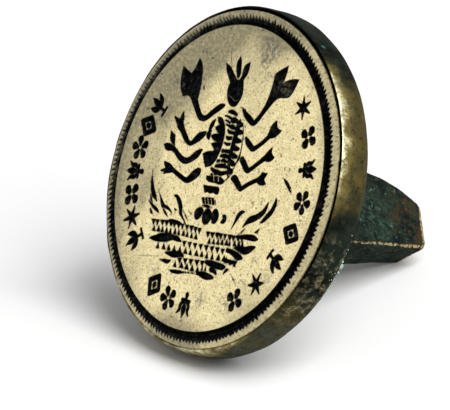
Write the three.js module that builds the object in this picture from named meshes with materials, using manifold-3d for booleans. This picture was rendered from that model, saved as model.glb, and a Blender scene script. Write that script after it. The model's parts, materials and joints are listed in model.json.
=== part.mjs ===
// Seal matrix in millimetres, +Z up. An engraved die plate is soldered into a cast disc, and a
// tapered square tang for a grip is riveted through the disc from behind. The seal lies on a
// table, on the rounded rear edge of its disc and on one corner of its tang's end.
import * as THREE from 'three';
import { mergeVertices } from 'three/addons/utils/BufferGeometryUtils.js';
import Module from 'manifold-3d';

const wasm = await Module();
wasm.setup();

// Driving dimensions. A depth is measured behind the engraved face, along the seal's axis.

// Die plate: a flat field, then a plain land whose outer part is worn back
const plateRadius = 15.6;
const plateThickness = 1.4;
const landWidth = 0.55;
const wornWidth = 0.35;
const landDrop = 0.3;

// Border: a groove all round, with short ticks cut outwards from its outer edge
const grooveWidth = 0.6;
const grooveDepth = 0.4;
const tickLength = 0.35;
const tickPitch = 0.45;

// Legend band: ornaments stand between the border groove and the emblem
const markHeight = 1.9;
const markWidth = 1.5;
const markLeafWidth = 0.42;
const markMargin = 1.15;
const markDepth = 0.35;
const markRuns = [
  { firstDegrees: 150, stepDegrees: 10.4, count: 7 },
  { firstDegrees: 239.5, stepDegrees: 12, count: 3 },
  { firstDegrees: 296.5, stepDegrees: 14.4, count: 8 },
];

// Emblem: a crayfish over water with reeds, drawn on a grid of millimetres
const emblemHeight = 20.4;
const emblemDepth = 0.45;
const shallowDepth = 0.3;

// Solder bed under the plate
const solderThickness = 0.3;
const solderMargin = 0.5;

// Cast disc: a lip stands round the plate, and the rear edge is rounded
const seatClearance = 0.25;
const lipWidth = 0.25;
const lipCrest = 0.12;
const lipDepth = 0.65;
const shoulderLength = 1;
const bodyDepth = 4.6;
const rearEdgeRadius = 2.1;

// Tang: four flat faces that taper to a small square end, with worn arrises
const tangLength = 18.9;
const tangRootSize = [7.8, 11.3];
const tangEndSize = [4.05, 4.55];
const tangArrisRadius = 0.6;
const tangEndWear = 0.5;
const tangTurnDegrees = 26.4;

// The tang and its rivet stand a little below the middle of the disc
const tangDrop = 0.65;

// Rivet: a round tenon on the tang, with its head hammered into a countersink
const tenonRadius = 3;
const rivetHeadRadius = 3.9;
const rivetHeadHeight = 0.9;
const tenonRoot = 1;

// Pieces that rest on each other keep this gap
const restGap = 0.3;

// The emblem is turned this far from upright where the seal lies
const lyingTurnDegrees = 10.3;

// Facets
const roundSegments = 96;
const rivetSegments = 48;
const edgeSegments = 5;
const shoulderSegments = 3;
const tangArrisSegments = 4;

// Sizes that follow from the driving ones
const grooveOuterRadius = plateRadius - landWidth - tickLength;
const grooveInnerRadius = grooveOuterRadius - grooveWidth;
const markRadius = grooveInnerRadius - markMargin - markHeight / 2;
const seatRadius = plateRadius + seatClearance;
const bodyRadius = seatRadius + lipWidth;
const solderFrontDepth = plateThickness + restGap;
const seatDepth = solderFrontDepth + solderThickness + restGap;
const tangShoulderDepth = bodyDepth + restGap;
const tangEndDepth = tangShoulderDepth + tangLength;

// Flat outlines

function outline(points) {
  return new THREE.Shape(points.map(([x, y]) => new THREE.Vector2(x, y)));
}

function ring(count, pointAt) {
  return Array.from({ length: count }, (_, i) => pointAt((2 * Math.PI * i) / count));
}

// An oval whose long half-axis points along turn
function oval([x, y], long, short, turn = 0, count = 12) {
  const cos = Math.cos(turn);
  const sin = Math.sin(turn);
  return ring(count, (angle) => {
    const a = long * Math.cos(angle);
    const b = short * Math.sin(angle);
    return [x + a * cos - b * sin, y + a * sin + b * cos];
  });
}

// A leaf from one point to another, widest in its middle, with its spine bowed to the left
function leaf([x0, y0], [x1, y1], width, bow = 0, steps = 4) {
  const length = Math.hypot(x1 - x0, y1 - y0);
  const along = [(x1 - x0) / length, (y1 - y0) / length];
  const side = (sign) => (i) => {
    const t = i / steps;
    const swell = 4 * t * (1 - t);
    const off = bow * swell + (sign * width * swell) / 2;
    return [x0 + along[0] * length * t - along[1] * off, y0 + along[1] * length * t + along[0] * off];
  };
  const right = Array.from({ length: steps + 1 }, (_, i) => i).map(side(-1));
  const left = Array.from({ length: steps - 1 }, (_, i) => steps - 1 - i).map(side(1));
  return [...right, ...left];
}

// A stroke along points, with a width at each point and square ends
function stroke(points, widths) {
  const edge = (sign) => points.map(([x, y], i) => {
    const [px, py] = points[Math.max(i - 1, 0)];
    const [nx, ny] = points[Math.min(i + 1, points.length - 1)];
    const length = Math.hypot(nx - px, ny - py);
    const off = (sign * widths[i]) / 2;
    return [x - ((ny - py) / length) * off, y + ((nx - px) / length) * off];
  });
  return [...edge(-1), ...edge(1).reverse()];
}

// Crayfish, drawn head up on a spine that leans a little to the right

const drawingHeight = 20.4;
const spineMiddle = [-0.45, 3.3];
const spineLean = 0.075;

function onSpine(offset, y) {
  return [spineMiddle[0] + spineLean * (y - spineMiddle[1]) + offset, y];
}

function crayfishHead() {
  const horns = [[-2.2, 10.5], [-0.25, 11.2], [1.2, 10.7]];
  const roots = [[-0.65, 8.3], [-0.05, 8.6], [0.5, 8.4]];
  return [
    oval([-0.08, 7.8], 1.35, 1.15, Math.PI / 2),
    ...horns.map((tip, i) => leaf(roots[i], tip, 0.75)),
  ];
}

function crayfishClaw(side) {
  const at = (offset, y) => onSpine(side * offset, y);
  const arm = stroke([at(1.3, 6.8), at(3.7, 5.2), at(5.5, 7.4)], [0.5, 0.75, 0.9]);
  const outerFinger = leaf(at(5.1, 6.8), at(8.15, 9.7), 1.5, side * -0.25);
  const innerFinger = leaf(at(5.1, 6.8), at(6.1, 10.7), 1.35, side * 0.2);
  return [arm, outerFinger, innerFinger];
}

// A foot with three short toes, at the end of a limb that comes from a point behind it
const footOutline = [[-0.35, -0.2], [0.45, -0.75], [0.5, -0.25], [1.1, 0], [0.5, 0.25], [0.45, 0.75], [-0.35, 0.2]];

function foot([fromX, fromY], [x, y]) {
  const length = Math.hypot(x - fromX, y - fromY);
  const [cos, sin] = [(x - fromX) / length, (y - fromY) / length];
  return footOutline.map(([ahead, across]) => [x + ahead * cos - across * sin, y + ahead * sin + across * cos]);
}

function crayfishLeg(side, joints) {
  const [shoulder, elbow, ankle] = joints.map(([offset, y]) => onSpine(side * offset, y));
  return [stroke([shoulder, elbow, ankle], [0.6, 0.7, 0.45]), foot(elbow, ankle)];
}

function crayfishShell() {
  const [halfLength, outer, inner] = [2.95, 2.35, 0.7];
  const steps = 8;
  const arc = (side, width) => Array.from({ length: steps + 1 }, (_, i) => {
    const t = i / steps;
    const offset = width * Math.sin(Math.PI * (0.06 + 0.88 * t));
    return onSpine(side * offset, spineMiddle[1] + halfLength * (1 - 2 * t));
  });
  const bands = [-1, 1].map((side) => [...arc(side, outer), ...arc(side, inner).reverse()]);
  const rungs = Array.from({ length: 7 }, (_, i) => {
    const y = 5.4 - 0.72 * i;
    return stroke([onSpine(-0.42, y), onSpine(0.42, y)], [0.34, 0.34]);
  });
  return [...bands, ...rungs];
}

function crayfishTail() {
  const blocks = [[-0.25, 0.8], [-1.15, 0.75], [-2.15, 0.7]];
  const lobes = [[-1.15, -3.45, 0.65], [0, -3.7, 0.85], [1.05, -3.5, 0.7]];
  return [
    ...blocks.map(([y, height]) => stroke([onSpine(-1.02, y), onSpine(1.02, y)], [height, height])),
    ...lobes.map(([offset, y, long]) => oval(onSpine(offset, y), long, 0.46, Math.PI / 2 - 0.2 * offset)),
  ];
}

// Shoulder, elbow and ankle of each pair of legs
const legs = [
  [[3, 4], [4.3, 2.8], [6.2, 4.6]],
  [[3, 2.2], [4.3, 0.95], [6.4, 2.5]],
  [[2.4, 0.5], [3.85, -0.8], [6.1, 0.1]],
];

// Reeds stand on both banks

const reeds = [
  leaf([-7.2, -4], [-8.7, 0.2], 0.45, 0.15),
  leaf([-8.3, -3.9], [-9.6, -1], 0.35, 0.1),
  leaf([-6.3, -4.1], [-7.8, -1.2], 0.4, 0.1),
  leaf([-4.4, -4], [-5.5, -1.9], 0.6, -0.3),
  leaf([2.8, -4.5], [4.4, -2.6], 0.5, 0.3),
  leaf([4.4, -4.4], [7.5, -1.6], 0.7, -0.35),
  leaf([6.3, -4], [8.5, -1.2], 0.5, -0.3),
];

// Water: rows of wedges with dark lenses between them

const waterRows = [
  { from: [-8.1, -4.9], to: [6.5, -5.35], count: 25, height: 1 },
  { from: [-6.4, -6.45], to: [5, -6.9], count: 19, height: 0.95 },
  { from: [-3.8, -7.75], to: [2.9, -8.2], count: 12, height: 0.95 },
];
const lenses = [
  leaf([-8.2, -5.95], [-3.7, -6.1], 0.75),
  leaf([3.6, -6.15], [7.3, -5.85], 0.7),
  leaf([-6, -7.2], [-3.2, -7.35], 0.6),
  leaf([-6.4, -7.95], [-4.6, -8.05], 0.4),
  leaf([2.2, -7.55], [5.5, -7.2], 0.7),
  leaf([-4.9, -8.75], [-1.4, -8.95], 0.35),
  leaf([-1.2, -9], [2, -9.2], 0.65),
];

function waterWedges({ from, to, count, height }) {
  const pitch = [(to[0] - from[0]) / count, (to[1] - from[1]) / count];
  const halfBase = pitch[0] * 0.38;
  return Array.from({ length: count }, (_, i) => {
    const x = from[0] + pitch[0] * (i + 0.5);
    const y = from[1] + pitch[1] * (i + 0.5);
    return [[x - halfBase, y + height / 2], [x - halfBase / 2, y - height / 2], [x + halfBase, y + height / 2]];
  });
}

// Ornaments of the legend band, drawn upright round the middle of each place

const rosetteLobes = 5;
const rosettePoints = 4 * rosetteLobes;

function rosette() {
  const middle = (markHeight + markWidth) / 4;
  const swing = markHeight / 2 - middle;
  return [ring(rosettePoints, (angle) => {
    const reach = middle + swing * Math.cos(rosetteLobes * angle);
    return [reach * Math.sin(angle), reach * Math.cos(angle)];
  })];
}

function lozenge() {
  return [ring(4, (angle) => [(markWidth / 2) * Math.cos(angle), (markHeight / 2) * Math.sin(angle)])];
}

function sprig() {
  const foot = [0, -markHeight / 2];
  const tips = [-1, 0, 1].map((side) => [(side * markWidth) / 2, side === 0 ? markHeight / 2 : markHeight / 4]);
  return tips.map((tip) => leaf(foot, tip, markLeafWidth));
}

const markMotifs = [rosette, lozenge, sprig];

// Solids

function toSolid(geometry) {
  const bare = geometry.clone();
  bare.deleteAttribute('normal');
  bare.deleteAttribute('uv');
  const merged = mergeVertices(bare, 1e-5);
  const mesh = new wasm.Mesh({
    numProp: 3,
    vertProperties: new Float32Array(merged.attributes.position.array),
    triVerts: new Uint32Array(merged.index.array),
  });
  return new wasm.Manifold(mesh);
}

function toGeometry(solid) {
  const { vertProperties, triVerts } = solid.getMesh();
  const geometry = new THREE.BufferGeometry();
  geometry.setAttribute('position', new THREE.BufferAttribute(vertProperties, 3));
  geometry.setIndex(new THREE.BufferAttribute(triVerts, 1));
  geometry.computeVertexNormals();
  return geometry;
}

// A tool that cuts an outline into the face from just above it
const overcut = 0.5;

function cutter(shape, depth) {
  const geometry = new THREE.ExtrudeGeometry(shape, { depth: depth + overcut, bevelEnabled: false });
  geometry.translate(0, 0, -depth);
  return toSolid(geometry);
}

// A solid of revolution from radius and depth pairs, about the seal's axis or one beside it
function turned(profile, segments = roundSegments, drop = 0) {
  const points = profile.map(([radius, depth]) => new THREE.Vector2(radius, -depth));
  const geometry = new THREE.LatheGeometry(points, segments);
  geometry.rotateX(Math.PI / 2);
  geometry.translate(0, -drop, 0);
  return toSolid(geometry);
}

// Points of an arc in a profile, after its first point
function arc([radius, depth], reach, fromDegrees, toDegrees, steps) {
  return Array.from({ length: steps }, (_, i) => {
    const angle = THREE.MathUtils.degToRad(fromDegrees + ((toDegrees - fromDegrees) * (i + 1)) / steps);
    return [radius + reach[0] * Math.cos(angle), depth + reach[1] * Math.sin(angle)];
  });
}

// Die plate

function borderShape() {
  const tickCount = Math.round((2 * Math.PI * grooveOuterRadius) / tickPitch);
  const toothed = Array.from({ length: 2 * tickCount }, (_, i) => {
    const angle = (Math.PI * i) / tickCount;
    const reach = grooveOuterRadius + (i % 2) * tickLength;
    return [reach * Math.cos(angle), reach * Math.sin(angle)];
  });
  const shape = outline(toothed);
  const inner = ring(roundSegments, (angle) => [
    grooveInnerRadius * Math.cos(angle),
    grooveInnerRadius * Math.sin(angle),
  ]);
  shape.holes.push(outline(inner));
  return shape;
}

function emblemCutters() {
  const scale = emblemHeight / drawingHeight;
  const cut = (depth) => (points) => cutter(outline(points.map(([x, y]) => [x * scale, y * scale])), depth);
  const deep = [
    ...crayfishHead(),
    ...crayfishShell(),
    ...crayfishTail(),
    ...[-1, 1].flatMap((side) => crayfishClaw(side)),
    ...lenses,
  ];
  const shallow = [
    ...[-1, 1].flatMap((side) => legs.flatMap((leg) => crayfishLeg(side, leg))),
    ...reeds,
    ...waterRows.flatMap(waterWedges),
  ];
  return [...deep.map(cut(emblemDepth)), ...shallow.map(cut(shallowDepth))];
}

function markCutters() {
  const places = markRuns.flatMap(({ firstDegrees, stepDegrees, count }) =>
    Array.from({ length: count }, (_, i) => firstDegrees + stepDegrees * i));
  return places.flatMap((degrees, i) => {
    const angle = THREE.MathUtils.degToRad(degrees);
    const place = [markRadius * Math.cos(angle), markRadius * Math.sin(angle)];
    const turn = angle - Math.PI / 2;
    const seat = ([x, y]) => [
      place[0] + x * Math.cos(turn) - y * Math.sin(turn),
      place[1] + x * Math.sin(turn) + y * Math.cos(turn),
    ];
    return markMotifs[i % markMotifs.length]().map((points) => cutter(outline(points.map(seat)), markDepth));
  });
}

function diePlate() {
  const blank = turned([
    [0, plateThickness],
    [plateRadius, plateThickness],
    [plateRadius, landDrop],
    [plateRadius - wornWidth, 0],
    [0, 0],
  ]);
  const cutters = [cutter(borderShape(), grooveDepth), ...emblemCutters(), ...markCutters()];
  return cutters.reduce((solid, tool) => solid.subtract(tool), blank);
}

// Solder bed

function solderBed() {
  const radius = plateRadius - solderMargin;
  const backDepth = solderFrontDepth + solderThickness;
  return turned([[0, backDepth], [radius, backDepth], [radius, solderFrontDepth], [0, solderFrontDepth]]);
}

// Rivet: the tenon and its head, or the hole for them, which is wider by the clearance

function rivet(clearance, backDepth) {
  const tenon = tenonRadius + clearance;
  const head = rivetHeadRadius + clearance;
  const headFront = seatDepth - clearance;
  return turned([
    [0, backDepth],
    [tenon, backDepth],
    [tenon, seatDepth + rivetHeadHeight],
    [head, seatDepth],
    [head, headFront],
    [0, headFront],
  ], rivetSegments, tangDrop);
}

// Cast disc with its seat, lip and rivet hole

function sealBody() {
  const crestRadius = seatRadius + lipCrest;
  const rearEdgeCentre = [bodyRadius - rearEdgeRadius, bodyDepth - rearEdgeRadius];
  const shoulderDepth = lipDepth + shoulderLength;
  const rear = arc(rearEdgeCentre, [rearEdgeRadius, rearEdgeRadius], 90, 0, edgeSegments);
  const shoulder = arc([crestRadius, shoulderDepth], [bodyRadius - crestRadius, -shoulderLength], 0, 90, shoulderSegments);
  const disc = turned([
    [0, bodyDepth],
    [rearEdgeCentre[0], bodyDepth],
    ...rear,
    [bodyRadius, shoulderDepth],
    ...shoulder,
    [seatRadius, lipDepth],
    [seatRadius, seatDepth],
    [0, seatDepth],
  ]);
  return disc.subtract(rivet(restGap, bodyDepth + overcut));
}

// Tang with its tenon and rivet head

function roundedRectangle([width, height], radius) {
  const [x, y] = [width / 2 - radius, height / 2 - radius];
  const shape = new THREE.Shape();
  shape.absarc(x, y, radius, 0, Math.PI / 2);
  shape.absarc(-x, y, radius, Math.PI / 2, Math.PI);
  shape.absarc(-x, -y, radius, Math.PI, 1.5 * Math.PI);
  shape.absarc(x, -y, radius, 1.5 * Math.PI, 2 * Math.PI);
  return shape;
}

// The end's section is drawn once and its corners move apart towards the root, so the arrises stay alike
function tangTaper() {
  const stations = [
    { depth: tangEndDepth, wear: tangEndWear },
    { depth: tangEndDepth - tangEndWear / 2, wear: tangEndWear / 4 },
    { depth: tangEndDepth - tangEndWear, wear: 0 },
    { depth: tangShoulderDepth, wear: 0 },
  ];
  const steps = stations.length - 1;
  const shape = roundedRectangle(tangEndSize, tangArrisRadius);
  const geometry = new THREE.ExtrudeGeometry(shape, {
    depth: steps,
    steps,
    curveSegments: tangArrisSegments,
    bevelEnabled: false,
  });
  const position = geometry.attributes.position;
  for (let i = 0; i < position.count; i += 1) {
    const { depth, wear } = stations[Math.round(position.getZ(i))];
    const toRoot = (tangEndDepth - depth) / tangLength;
    const grown = tangEndSize.map((end, axis) => ((tangRootSize[axis] - end) * toRoot) / 2 - wear);
    const [x, y] = [position.getX(i), position.getY(i)];
    position.setXYZ(i, x + Math.sign(x) * grown[0], y + Math.sign(y) * grown[1], -depth);
  }
  geometry.rotateZ(THREE.MathUtils.degToRad(tangTurnDegrees));
  geometry.translate(0, -tangDrop, 0);
  return toSolid(geometry);
}

function tang() {
  return tangTaper().add(rivet(0, tangShoulderDepth + tenonRoot));
}

// Finishes

const wornBrass = new THREE.MeshStandardMaterial({ color: 0xcdbb8c, metalness: 0.9, roughness: 0.42 });
const darkBrass = new THREE.MeshStandardMaterial({ color: 0x5c5636, metalness: 0.85, roughness: 0.45 });
const greenBrass = new THREE.MeshStandardMaterial({ color: 0x46513f, metalness: 0.6, roughness: 0.6 });
const softSolder = new THREE.MeshStandardMaterial({ color: 0x8d8f8e, metalness: 0.8, roughness: 0.6 });

function piece(name, solid, material) {
  const mesh = new THREE.Mesh(toGeometry(solid), material);
  mesh.name = name;
  return mesh;
}

// The seal in its own frame: the face looks along +Z and the emblem stands up along +Y

const seal = new THREE.Group();
seal.add(
  piece('die_plate', diePlate(), wornBrass),
  piece('solder_bed', solderBed(), softSolder),
  piece('seal_body', sealBody(), darkBrass),
  piece('tang', tang(), greenBrass),
);

const rolled = new THREE.Group();
rolled.rotation.z = THREE.MathUtils.degToRad(lyingTurnDegrees);
rolled.add(seal);

const lying = new THREE.Group();
lying.add(rolled);

function lowestPoint(name, tilt) {
  lying.rotation.x = Math.PI / 2 - tilt;
  lying.updateMatrixWorld(true);
  return new THREE.Box3().setFromObject(lying.getObjectByName(name), true).min.z;
}

// The axis slopes down to the tang's end until the disc and the tang reach equally low
let [gentle, steep] = [0, Math.PI / 2];
while (steep - gentle > 1e-6) {
  const tilt = (gentle + steep) / 2;
  if (lowestPoint('seal_body', tilt) < lowestPoint('tang', tilt)) gentle = tilt;
  else steep = tilt;
}

// The table is at z = 0, under the middle of the seal's outer box

const part = new THREE.Group();
part.add(lying);
part.updateMatrixWorld(true);
const box = new THREE.Box3().setFromObject(part, true);
lying.position.set(-(box.min.x + box.max.x) / 2, -(box.min.y + box.max.y) / 2, -box.min.z);
part.updateMatrixWorld(true);

export default part;
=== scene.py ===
"""Looks of a round engraved brass seal matrix that lies on its rim and on its tang's end.

Shapes are worked out in millimetres in the seal's own frame: x to the emblem's right, y up the emblem and
z out of the engraved face, from the middle of the face. seal_to_row takes them to the frame's metres.
A depth is measured behind the face, so it is minus z.
"""

import json
from collections import namedtuple
from math import cos, pi, radians, sin, tau

import bpy
import numpy as np
from mathutils import Matrix, Vector, noise


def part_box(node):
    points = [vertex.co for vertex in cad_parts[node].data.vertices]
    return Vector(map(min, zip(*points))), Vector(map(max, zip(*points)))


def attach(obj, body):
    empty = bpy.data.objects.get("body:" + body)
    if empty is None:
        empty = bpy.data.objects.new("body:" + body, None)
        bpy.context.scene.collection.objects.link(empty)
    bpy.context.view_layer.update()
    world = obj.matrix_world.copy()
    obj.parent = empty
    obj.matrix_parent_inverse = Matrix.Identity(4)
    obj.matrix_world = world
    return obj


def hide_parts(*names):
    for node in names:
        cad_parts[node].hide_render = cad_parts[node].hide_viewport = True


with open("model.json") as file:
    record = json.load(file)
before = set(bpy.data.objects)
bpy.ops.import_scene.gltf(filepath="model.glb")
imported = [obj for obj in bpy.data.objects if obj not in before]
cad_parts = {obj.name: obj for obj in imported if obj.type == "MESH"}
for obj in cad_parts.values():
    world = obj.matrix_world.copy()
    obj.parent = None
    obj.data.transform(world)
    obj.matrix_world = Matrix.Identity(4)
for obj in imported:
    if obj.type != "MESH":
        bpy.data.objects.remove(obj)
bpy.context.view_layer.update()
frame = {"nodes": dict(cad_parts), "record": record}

# The seal's place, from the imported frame

MM = 0.001
LYING_TURN = 10.3


def row_points(node):
    """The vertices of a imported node, in metres."""
    return np.array([v.co for v in frame["nodes"][node].data.vertices])


def seal_pose():
    """Takes seal millimetres to row metres. The solder bed is a plain disc, so its middle is on the axis."""
    face_mount = next(m for m in frame["record"]["mounts"] if m["name"] == "die_face")
    outward = Vector(face_mount["axis"]).normalized()
    level = Vector((1, 0, 0))
    slope = outward.cross(level)
    right = cos(radians(LYING_TURN)) * level + sin(radians(LYING_TURN)) * slope
    low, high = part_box("solder_bed")
    middle = (low + high) / 2
    face = float((row_points("die_plate") @ np.array(outward)).max())
    middle += (face - middle.dot(outward)) * outward
    turned = Matrix((right, outward.cross(right), outward)).transposed().to_4x4()
    return Matrix.Translation(middle) @ turned @ Matrix.Scale(MM, 4)


seal_to_row = seal_pose()
Reach = namedtuple("Reach", "radius front back")


def to_seal(points):
    """Points in row metres taken to seal millimetres."""
    inverse = np.array(seal_to_row.inverted())
    return points @ inverse[:3, :3].T + inverse[:3, 3]


def reach(node):
    """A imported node's greatest radius about the seal's axis, and the depths of its front and back."""
    x, y, z = to_seal(row_points(node)).T
    return Reach(np.hypot(x, y).max(), -z.max(), -z.min())


plate, bed, body, tang = (reach(n) for n in ("die_plate", "solder_bed", "seal_body", "tang"))

# Small tools


def tone(hex_code):
    """A linear colour from an sRGB hex code."""
    srgb = [int(hex_code[i:i + 2], 16) / 255 for i in (1, 3, 5)]
    return (*(c / 12.92 if c <= 0.04045 else ((c + 0.055) / 1.055) ** 2.4 for c in srgb), 1)


def add(tree, kind, inputs=None, **settings):
    """A node with its settings. An input, named or numbered, takes a value, a socket or a node's output."""
    node = tree.nodes.new(kind)
    for name, value in settings.items():
        setattr(node, name, value)
    for key, value in (inputs or {}).items():
        live = [s for s in node.inputs if s.enabled]
        socket = live[key] if isinstance(key, int) else next(s for s in live if s.name == key)
        if isinstance(value, bpy.types.Node):
            value = next(s for s in value.outputs if s.enabled)
        if isinstance(value, bpy.types.NodeSocket):
            tree.links.new(value, socket)
        else:
            socket.default_value = value
    return node


def smoothstep(low, high, value):
    """0 up to low, 1 from high on and a smooth rise between. High may be the smaller one."""
    t = np.clip((value - low) / (high - low), 0, 1)
    return t * t * (3 - 2 * t)


def rough(points, size, seed):
    """Smooth noise between about -1 and 1, with features of this size, at each point."""
    shift = Vector((seed * 17.3, seed * 5.1, seed * 9.7))
    return np.array([noise.noise(Vector(p) / size + shift) for p in points])


def seal_points(mesh):
    """A mesh's vertices as an array."""
    return np.array([v.co for v in mesh.vertices])


def to_row(mesh, **numbers):
    """Takes a mesh from seal millimetres to the row frame, with the numbers that its material reads."""
    for name, values in numbers.items():
        mesh.attributes.new(name, "FLOAT", "POINT").data.foreach_set("value", values.astype(np.float32))
    mesh.transform(seal_to_row)
    return mesh


def new_mesh(name, points, faces, **numbers):
    """A mesh in the row frame from points in the seal's frame."""
    mesh = bpy.data.meshes.new(name)
    mesh.from_pydata(points, [], faces)
    return to_row(mesh, **numbers)


def linked(name, data):
    """A new object in the scene."""
    made = bpy.data.objects.new(name, data)
    bpy.context.scene.collection.objects.link(made)
    return made


def add_piece(name, mesh, material, node=None, crease=40):
    """A finished piece at the origin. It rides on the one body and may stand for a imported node."""
    mesh.name = name
    mesh.materials.clear()
    mesh.materials.append(material)
    mesh.shade_smooth()
    mesh.set_sharp_from_angle(angle=radians(crease))
    piece = linked(name, mesh)
    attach(piece, "root")
    if node:
        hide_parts(node)
    return piece


# Finishes. Every mask runs from 0 to 1, and sizes are real millimetres. Noise finer than about 0.15 mm
# wouldn't show, so the metal's own grain is drawn that coarse.


class Paint:
    """A new material being mixed: its node tree, its shader, coordinates in the seal's millimetres and the
    numbers that the mesh gives it."""

    def __init__(self, name, *numbers):
        self.material = bpy.data.materials.new(name)
        self.material.use_nodes = True
        self.tree = self.material.node_tree
        self.shader = self.tree.nodes["Principled BSDF"]
        inverse = seal_to_row.inverted()
        self.place = self.add("ShaderNodeMapping", {
            "Vector": self.add("ShaderNodeTexCoord").outputs["Object"],
            "Location": inverse.to_translation(),
            "Rotation": inverse.to_euler(),
            "Scale": inverse.to_scale(),
        })
        self.given = {n: self.add("ShaderNodeAttribute", attribute_name=n).outputs["Fac"] for n in numbers}

    def add(self, kind, inputs=None, **settings):
        """A node of this material."""
        return add(self.tree, kind, inputs, **settings)

    def ramp(self, value, low, high, start=0.0, end=1.0):
        """Follows a value smoothly from start, at low, to end, at high."""
        return self.add("ShaderNodeMapRange", {
            "Value": value, "From Min": low, "From Max": high, "To Min": start, "To Max": end,
        }, interpolation_type="SMOOTHSTEP")

    def cloud(self, size, detail=3.0, at=None):
        """Noise with features this many millimetres across."""
        place = self.place if at is None else at
        noisy = {"Vector": place, "Scale": 1 / size, "Detail": detail, "Roughness": 0.6}
        return self.add("ShaderNodeTexNoise", noisy)

    def patches(self, size, low, high, detail=3.0, at=None):
        """Patches this many millimetres across: none where the noise is below low, full above high."""
        return self.ramp(self.cloud(size, detail, at), low, high)

    def dots(self, apart, low, high, at):
        """Dots this many millimetres apart. Their soft edge lies between two shares of that."""
        cells = self.add("ShaderNodeTexVoronoi", {"Vector": at, "Scale": 1 / apart})
        return self.ramp(cells.outputs["Distance"], low, high, 1.0, 0.0)

    def scratches(self, turn, scale, size, low, high, detail=1.0):
        """Patches drawn out along one direction."""
        turned = {"Vector": self.place, "Rotation": (0, 0, radians(turn)), "Scale": scale}
        return self.patches(size, low, high, detail, self.add("ShaderNodeMapping", turned))

    def ragged(self, size, reach_out):
        """Coordinates pushed about by noise, so that what is drawn on them has an uneven edge."""
        noisy = {0: self.cloud(size).outputs["Color"], 1: (0.5, 0.5, 0.5)}
        push = self.add("ShaderNodeVectorMath", noisy, operation="SUBTRACT")
        moved = {0: push, 1: (reach_out,) * 3, 2: self.place}
        return self.add("ShaderNodeVectorMath", moved, operation="MULTIPLY_ADD")

    def near(self, centre, radius, softness, strength=1.0, at=None):
        """A mask round a place on the seal: full inside its radius, and fading out over its softness."""
        ends = {0: self.place if at is None else at, 1: centre}
        gap = self.add("ShaderNodeVectorMath", ends, operation="DISTANCE").outputs["Value"]
        return self.ramp(gap, radius, radius + softness, strength, 0.0)

    def spots(self, rows, at):
        """One mask of several places."""
        return self.any_of(*[self.near(*row, at=at) for row in rows])

    def both(self, a, b, operation="MULTIPLY"):
        """Two masks joined."""
        return self.add("ShaderNodeMath", {0: a, 1: b}, operation=operation, use_clamp=True)

    def any_of(self, first, *others):
        """Masks added up."""
        for mask in others:
            first = self.both(first, mask, "ADD")
        return first

    def rest(self, mask):
        """What a mask leaves."""
        return self.both(1.0, mask, "SUBTRACT")

    def coats(self, colour, *coats):
        """Coats laid over a colour, each with its own colour, its mask and perhaps how strong it is."""
        for over, mask, *strength in coats:
            for share in strength:
                mask = self.both(mask, share)
            under, over = (tone(c) if isinstance(c, str) else c for c in (colour, over))
            colour = self.add("ShaderNodeMix", {"Factor": mask, "A": under, "B": over}, data_type="RGBA")
        return colour

    def finish(self, relief=None, **sockets):
        """Gives the shader's sockets their nodes or their even values. A relief is a mask, the millimetres of
        height that it stands for, and its strength."""
        if relief:
            height, depth_mm, strength = relief
            bump = {"Height": height, "Distance": depth_mm * MM, "Strength": strength}
            sockets["Normal"] = self.add("ShaderNodeBump", bump)
        for name, given in sockets.items():
            socket = self.shader.inputs[name.replace("_", " ")]
            if isinstance(given, bpy.types.Node):
                self.tree.links.new(next(s for s in given.outputs if s.enabled), socket)
            else:
                socket.default_value = given
        return self.material


# Places on the face or the disc, each with its full radius, how far it fades beyond that and how strong it is

# Tarnish on the face, with painted shade: the largest patches darken it towards its top and left.
FACE_TARNISH_AND_SHADE = (
    ((-1, 22, 0), 8.0, 7.0, 0.75),
    ((-3, 17, 0), 3.2, 2.4, 0.3),
    ((-24, 3, 0), 15.2, 0.8, 0.46),
    ((-24, 3, 0), 10.5, 5.0, 0.28),
    ((-10, 11, 0), 4.8, 3.6, 0.95),
    ((-4.5, 13.6, 0), 2.6, 2.6, 0.5),
    ((-9, -1.8, 0), 1.0, 1.8, 0.26),
    ((-11, -9, 0), 1.5, 2.5, 0.3),
    ((7, -11, 0), 0.8, 2.4, 0.32),
    ((2, 7.6, 0), 1.5, 2.6, 0.2),
    ((4.2, 13.4, 0), 1.2, 2.4, 0.35),
    ((-2.5, -16.2, 0), 2.2, 3.0, 0.6),
)
FACE_SMUDGES = (
    ((3.4, 12.2, 0), 0.6, 1.3, 0.8),
    ((4.6, 9.7, 0), 0.1, 0.8, 0.6),
    ((3.0, 10.7, 0), 0.2, 0.8, 0.6),
    ((3.9, 10.1, 0), 0.1, 0.6, 0.5),
    ((-5.0, 11.3, 0), 0.1, 0.5, 0.6),
    ((-8.7, 8.4, 0), 0.2, 1.0, 0.6),
    ((0.6, -11.2, 0), 0.4, 0.7, 0.7),
    ((-6.5, -9.0, 0), 0.2, 1.2, 0.5),
    ((4.3, -11.2, 0), 0.2, 1.2, 0.6),
    ((9.0, -8.6, 0), 0.3, 1.2, 0.5),
    ((12.2, 6.0, 0), 0.1, 0.9, 0.4),
    ((-3.9, 5.0, 0), 0.1, 0.9, 0.3),
)
FAINT_TEETH = ((-9.5, 9.5, 0), 8.5, 6.0, 0.3)
DARKER_BORDER = ((-8.5, 10.5, 0), 9.0, 6.0, 0.8)
# A painted glint: a paler smear in the right claw's floor
CLAW_GLINT = ((6.0, 8.9, 0), 0.3, 1.3)


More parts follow.
